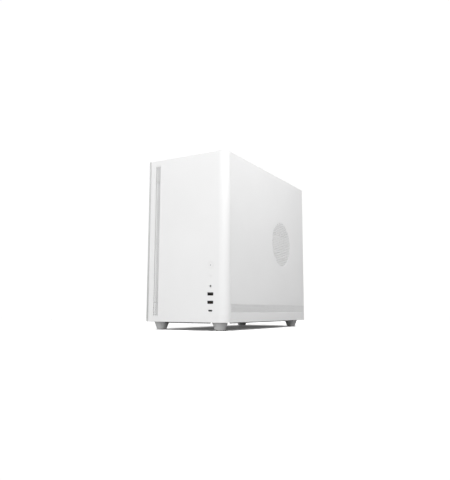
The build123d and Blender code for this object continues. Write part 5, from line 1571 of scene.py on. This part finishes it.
    # generic on bar and off ring
    cbox(m, SX - 0.4, SX + 0.4, SW_Y + 4.4, SW_Y + 4.62, IZ + 3.2, IZ + 6.2, 0.05, 1)
    ringwall(m, 1.3, 1.9, 0, 0.25, "z", (0, 0), 0.05, 24, 1)
    n0 = len(m.v) - 24 * 9
    for i in range(n0, len(m.v)):
        x, y, z = m.v[i]
        zz = IZ - 4.2 + y
        m.v[i] = (SX + x, SW_Y + 5.45 + z - (y) * 0.42, zz)
    make(m, "rocker_switch", [PLAST_B, PLAST_W], "rocker", ["psu_switch"], bevel=0.25, seg=2)


def storage_and_fixings():
    m = M()
    cbox(m, -60, 10, -170, -70, 113.0, 120.0, 1.0, 0)
    plate(m, R(-54, 4, -160, -80, 3, 5), [], 0, 0.25, 0.08, FN_XY(119.85), 1)
    for k in range(5):
        cbox(m, -60.2 + 0.1, -59.6, -150 + k * 14, -142 + k * 14, 115, 118, 0.2, 1)
    cbox(m, -45, -15, -171.5, -169.5, 114.5, 118.5, 0.3, 2)
    make(m, "solid_state_drive_case", [ALU, PLAST_G, PLAST_B], "chassis", ["solid_state_drive"])
    m = M()
    holes = [(PCB_Y1 - dy, Z_PCB0 + dz) for dy in (10.2, 165.1, 237.5) for dz in (6.4, 86.0, 238.8)]
    for y, z in holes:
        lathe(m, [(0, X_PCB + 1.6), (3.0, X_PCB + 1.6), (3.0, X_TRAY), (0, X_TRAY)], 6, "x", (0, y, z), 1)
        screw(m, "x", -1, X_PCB, (y, z), 2.9)
    for x, z in ((-69, 106), (-73, 28), (73, 98), (73, 28)):
        x = max(-73.5, min(73.5, x))
        z = z if abs(x) > 72 else 106
        screw(m, "y", 1, Y_REAR, (x, z), 3.4)
    for sx in (-1, 1):
        for sz in (-1, 1):
            screw(m, "y", 1, Y_REAR, (RFX + sx * 52.5, RFZ + sz * 52.5), 3.6)
    make(m, "screws", [ZINC, BRASS], "chassis", ["case_screws"])


def screw(m, ax, s, a, at, r):
    """Pan head with a six-sided recess, standing off a face at a in direction s."""
    p3 = {"x": (0, at[0], at[1]), "y": (at[0], 0, at[1]), "z": (at[0], at[1], 0)}[ax]
    lathe(m, [(r, a), (r, a + s * 0.9), (r * 0.86, a + s * 1.6), (r * 0.6, a + s * 1.9), (r * 0.42, a + s * 1.95)], 24, ax, p3)
    # recess walls, six-sided
    vs, fs = [], []
    n = 24
    for k in range(n):
        ang = 2 * math.pi * k / n
        q = r * 0.42
        vs.append((q * math.cos(ang), q * math.sin(ang), a + s * 1.95))
    for k in range(n):
        ang = 2 * math.pi * k / n
        h = math.pi / 3
        d = (ang % h) - h / 2
        q = r * 0.36 * math.cos(h / 2) / math.cos(d)
        vs.append((q * math.cos(ang), q * math.sin(ang), a + s * 1.85))
    for k in range(n):
        vs.append((vs[n + k][0], vs[n + k][1], a + s * 0.8))
    for b in (0, n):
        for k in range(n):
            j = (k + 1) % n
            fs.append([b + k, b + j, b + n + j, b + n + k])
    fs.append([2 * n + k for k in range(n)])
    if ax == "x":
        vs = [(p[2], p[0] + at[0], p[1] + at[1]) for p in vs]
    elif ax == "y":
        vs = [(p[1] + at[0], p[2], p[0] + at[1]) for p in vs]
    m.add(vs, fs, 0)


# ------------------------------------------------------------------ internal cables
def smooth_line(name, pts, res=10):
    """Points along a smooth curve pulled towards the given points."""
    cu = bpy.data.curves.new(name, "CURVE")
    cu.dimensions = "3D"
    sp = cu.splines.new("NURBS")
    sp.points.add(len(pts) - 1)
    for q, p in zip(sp.points, pts):
        q.co = (p[0], p[1], p[2], 1.0)
    sp.order_u = 3
    sp.use_endpoint_u = True
    sp.resolution_u = res
    ob = bpy.data.objects.new(name, cu)
    me = bpy.data.meshes.new_from_object(ob)
    out = [v.co.copy() for v in me.vertices]
    bpy.data.meshes.remove(me)
    bpy.data.objects.remove(ob)
    bpy.data.curves.remove(cu)
    return out


def bundle(m, name, pts, flat, rnd, r, grow=70.0, up=Vector((0, 0, 1)), mi=0):
    """Wires that leave a plug side by side and gather into a round bundle."""
    path = smooth_line(name, pts)
    fr = frames(path, up)
    dist = [0.0]
    for a, b in zip(path, path[1:]):
        dist.append(dist[-1] + (b - a).length)
    for (fu, fv), (ru, rv) in zip(flat, rnd):
        line = []
        for (p, s, u), d in zip(fr, dist):
            t = min(1.0, d / grow)
            t = t * t * (3 - 2 * t)
            line.append(p + s * (fu * (1 - t) + ru * t) + u * (fv * (1 - t) + rv * t))
        pipe(m, line, r, 8, mi)


def cables():
    m = M()
    x0 = PCB_Y0
    cbox(m, 45, 57, x0 + 0.9, x0 + 11.1, 262.2, 313.8, 0.8, 1)
    for k in range(12):
        cbox(m, 44.4, 45.6, x0 + 1.4, x0 + 10.6, 263.2 + k * 4.2, 266.4 + k * 4.2, 0.4, 1)
    flat = [((j - 0.5) * 4.2, (i - 5.5) * 4.2) for j in range(2) for i in range(12)]
    rnd = []
    for ring, n in ((0.0, 1), (1.65, 6), (3.3, 11), (3.9, 6)):
        for k in range(n):
            a = 2 * math.pi * k / n + ring
            rnd.append((ring * math.cos(a), ring * math.sin(a)))
    rnd = sorted(rnd, key=lambda p: p[1])
    flat = sorted(flat, key=lambda p: p[1])
    bundle(m, "board_power_line",
           [(45, -32.8, 288), (24, -32.8, 288), (24, -64, 288), (54, -64, 288), (88, -64, 288), (88, -64, 254), (88, -64, 125), (88, -64, 73),
            (88, -14, 73), (77.9, 3.3, 73), (60, 34, 73), (60, 67.5, 73)], flat, rnd, 0.95, 96.0)
    make(m, "board_power_cable", [SLV_W, PLAST_B], "chassis", ["cable_board_power"])
    m = M()
    cbox(m, -66, -52.2, -8, 12, GPU_Z - 2, GPU_Z + 8, 0.8, 1)
    flat = [((i - 1.5) * 4.2, (j - 0.5) * 4.2) for j in range(2) for i in range(4)]
    rnd = [(2.3 * math.cos(2 * math.pi * k / 7), 2.3 * math.sin(2 * math.pi * k / 7)) for k in range(7)] + [(0, 0)]
    flat.sort(key=lambda p: math.atan2(p[1], p[0]))
    rnd.sort(key=lambda p: math.atan2(p[1], p[0]))
    bundle(m, "card_power_line",
           [(-65.5, 2, 194.4), (-84, 2, 194.4), (-84, -28, 194.4), (-84, -58, 194.4), (-63, -58, 150), (-63, -58, 114), (-63, -58, 73),
            (-52.9, -19.3, 73), (-40, 30, 73), (-40, 67.5, 73)], flat, rnd, 1.05, 60.0)
    make(m, "card_power_cable", [SLV_W, PLAST_B], "chassis", ["cable_gpu_power"])
    m = M()
    cbox(m, 52, 61.4, -38.4, -32.6, 222.6, 241.4, 0.5, 1)
    rnd = [(1.3 * math.cos(2 * math.pi * k / 5), 1.3 * math.sin(2 * math.pi * k / 5)) for k in range(5)]
    bundle(m, "front_lead_line",
           [(64, -198, 106), (64, -176, 106), (88, -150, 106), (88, -122, 106), (88, -76.5, 106), (88, -76.5, 152), (88, -76.5, 204),
            (88, -76.5, 232), (58, -76.5, 232), (58, -38.5, 232)], rnd, rnd, 0.85, 30.0)
    make(m, "front_lead_cable", [SLV_B, PLAST_B], "chassis", ["cable_front_leads"])


# ------------------------------------------------------------------ stage, light, camera
# studio light: how much of each part of the surround and of each soft box
SKY = {"even": 0.231, "up": 0.0, "front": 1.56, "right": 0.0, "left": 0.357}
FLOOR_BACK, FLOOR_SEEN, FLOOR_LIFT = 0.25, 1.25, 0.07
BOX = {"side": 5.4, "face": 1.38, "corner": 2.65, "top": 5.1, "rear": 10.5}


def stage():
    mt, nt, b = nodes_of("studio_floor")
    # the floor looks white, sends less than that back up, and fades into the white surround
    N, L = nt.nodes, nt.links
    b.inputs["Roughness"].default_value = 1.0
    b.inputs["Specular IOR Level"].default_value = 0.0
    fl = N.new("ShaderNodeLightPath")
    fm = N.new("ShaderNodeMix")
    fm.data_type = "RGBA"
    fm.inputs["A"].default_value = (FLOOR_BACK, FLOOR_BACK, FLOOR_BACK, 1)
    fm.inputs["B"].default_value = (FLOOR_SEEN, FLOOR_SEEN, FLOOR_SEEN, 1)
    L.new(fl.outputs["Is Camera Ray"], fm.inputs["Factor"])
    L.new(fm.outputs["Result"], b.inputs["Base Color"])
    b.inputs["Emission Color"].default_value = (1, 1, 1, 1)
    lift = N.new("ShaderNodeMath")
    lift.operation = "MULTIPLY"
    lift.inputs[1].default_value = FLOOR_LIFT
    L.new(fl.outputs["Is Camera Ray"], lift.inputs[0])
    L.new(lift.outputs[0], b.inputs["Emission Strength"])
    tc = N.new("ShaderNodeTexCoord")
    ln = N.new("ShaderNodeVectorMath")
    ln.operation = "LENGTH"
    L.new(tc.outputs["Object"], ln.inputs[0])
    mr = N.new("ShaderNodeMapRange")
    mr.interpolation_type = "SMOOTHSTEP"
    mr.inputs["From Min"].default_value, mr.inputs["From Max"].default_value = 0.55, 1.25
    L.new(ln.outputs["Value"], mr.inputs["Value"])
    mu = N.new("ShaderNodeMath")
    mu.operation = "MULTIPLY"
    L.new(mr.outputs["Result"], mu.inputs[0])
    L.new(fl.outputs["Is Camera Ray"], mu.inputs[1])
    tr = N.new("ShaderNodeBsdfTransparent")
    ms = N.new("ShaderNodeMixShader")
    L.new(mu.outputs[0], ms.inputs["Fac"])
    L.new(b.outputs["BSDF"], ms.inputs[1])
    L.new(tr.outputs["BSDF"], ms.inputs[2])
    L.new(ms.outputs["Shader"], N["Material Output"].inputs["Surface"])
    me = bpy.data.meshes.new("studio_floor")
    n, s = 24, 40.0
    vs = [(0, 0, 0)] + [(s * math.cos(2 * math.pi * k / n), s * math.sin(2 * math.pi * k / n), 0) for k in range(n)]
    me.from_pydata(vs, [], [[0, 1 + k, 1 + (k + 1) % n] for k in range(n)])
    me.materials.append(mt)
    ob = bpy.data.objects.new("studio_floor", me)
    bpy.context.scene.collection.objects.link(ob)

    # surround: white to look at, and a soft directional mix as light
    w = bpy.data.worlds.new("studio")
    bpy.context.scene.world = w
    w.use_nodes = True
    N, L = w.node_tree.nodes, w.node_tree.links
    bg = N["Background"]
    out = N["World Output"]
    tc = N.new("ShaderNodeTexCoord")
    sep = N.new("ShaderNodeSeparateXYZ")
    L.new(tc.outputs["Generated"], sep.inputs["Vector"])
    total = None
    for key, axis, sg in (("up", "Z", 1), ("front", "Y", -1), ("right", "X", 1), ("left", "X", -1)):
        m1 = N.new("ShaderNodeMath")
        m1.operation = "MULTIPLY"
        m1.inputs[1].default_value = sg
        L.new(sep.outputs[axis], m1.inputs[0])
        m2 = N.new("ShaderNodeMath")
        m2.operation = "MAXIMUM"
        m2.inputs[1].default_value = 0.0
        L.new(m1.outputs[0], m2.inputs[0])
        m3 = N.new("ShaderNodeMath")
        m3.operation = "MULTIPLY_ADD"
        m3.inputs[1].default_value = SKY[key]
        L.new(m2.outputs[0], m3.inputs[0])
        if total is None:
            m3.inputs[2].default_value = SKY["even"]
        else:
            L.new(total, m3.inputs[2])
        total = m3.outputs[0]
    L.new(total, bg.inputs["Strength"])
    bg.inputs["Color"].default_value = (1, 1, 1, 1)
    seen = N.new("ShaderNodeBackground")
    seen.inputs["Color"].default_value = (1, 1, 1, 1)
    seen.inputs["Strength"].default_value = 1.02
    lp = N.new("ShaderNodeLightPath")
    mx = N.new("ShaderNodeMixShader")
    L.new(lp.outputs["Is Camera Ray"], mx.inputs["Fac"])
    L.new(bg.outputs["Background"], mx.inputs[1])
    L.new(seen.outputs["Background"], mx.inputs[2])
    L.new(mx.outputs["Shader"], out.inputs["Surface"])

    def area(name, loc, target, size, power, sy=None):
        if power <= 0:
            return
        d = bpy.data.lights.new(name, "AREA")
        d.shape = "RECTANGLE"
        d.size, d.size_y = size, sy or size
        d.energy = power
        o = bpy.data.objects.new(name, d)
        bpy.context.scene.collection.objects.link(o)
        o.location = loc
        v = Vector(target) - Vector(loc)
        o.rotation_euler = v.to_track_quat("-Z", "Y").to_euler()
        o.visible_camera = False

    area("side_box", (0.80, -0.10, 0.80), (0.1, 0.0, 0.25), 0.5, BOX["side"], 0.5)
    area("face_box", (0.05, -1.00, 0.85), (0.0, -0.2, 0.30), 0.6, BOX["face"], 0.5)
    area("corner_box", (0.62, -0.85, 0.85), (0.1, -0.2, 0.30), 0.35, BOX["corner"], 0.5)
    area("rear_box", (-1.3, 1.7, 1.3), (0.0, 0.1, 0.15), 1.2, BOX["rear"])
    area("top_box", (-0.1, 0.1, 1.7), (0.0, 0.0, 0.0), 1.2, BOX["top"])
    sc = bpy.context.scene
    sc.view_settings.view_transform = "Standard"
    sc.view_settings.look = "None"
    sc.view_settings.exposure = 0.0
    sc.view_settings.gamma = 1.0


def camera():
    yaw, pitch, roll = math.radians(29.828), math.radians(7.713), 0.00371
    f = Vector((-math.sin(yaw) * math.cos(pitch), math.cos(yaw) * math.cos(pitch), math.sin(pitch)))
    r = Vector((math.cos(yaw), math.sin(yaw), 0))
    u = r.cross(f)
    r2 = r * math.cos(roll) + u * math.sin(roll)
    u2 = -r * math.sin(roll) + u * math.cos(roll)
    cam = bpy.data.cameras.new("camera")
    cam.sensor_fit = "VERTICAL"
    cam.sensor_height = 36.0
    cam.lens = 513.82 / 480 * 36.0
    cam.clip_start, cam.clip_end = 0.02, 60
    ob = bpy.data.objects.new("camera", cam)
    mt = Matrix.Identity(4)
    for i in range(3):
        mt[i][0], mt[i][1], mt[i][2] = r2[i], u2[i], -f[i]
    mt[0][3], mt[1][3], mt[2][3] = 0.6157, -0.9024 - 0.2155, 0.0266 + 0.017
    ob.matrix_world = mt
    bpy.context.scene.collection.objects.link(ob)
    bpy.context.scene.camera = ob


camera()
stage()
front_panel()
vent_strip()
controls()
right_panel()
glass()
top()
rear()
bottom()
inner_sheets()
fans()
cooler()
gpu()
board()
rear_io()
psu()
storage_and_fixings()
cables()

# thumb screws keep their CAD shape
for n in ("thumb_screw_upper", "thumb_screw_lower"):
    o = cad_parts[n]
    for s in o.material_slots:
        s.link = "OBJECT"
        s.material = PLAST_W
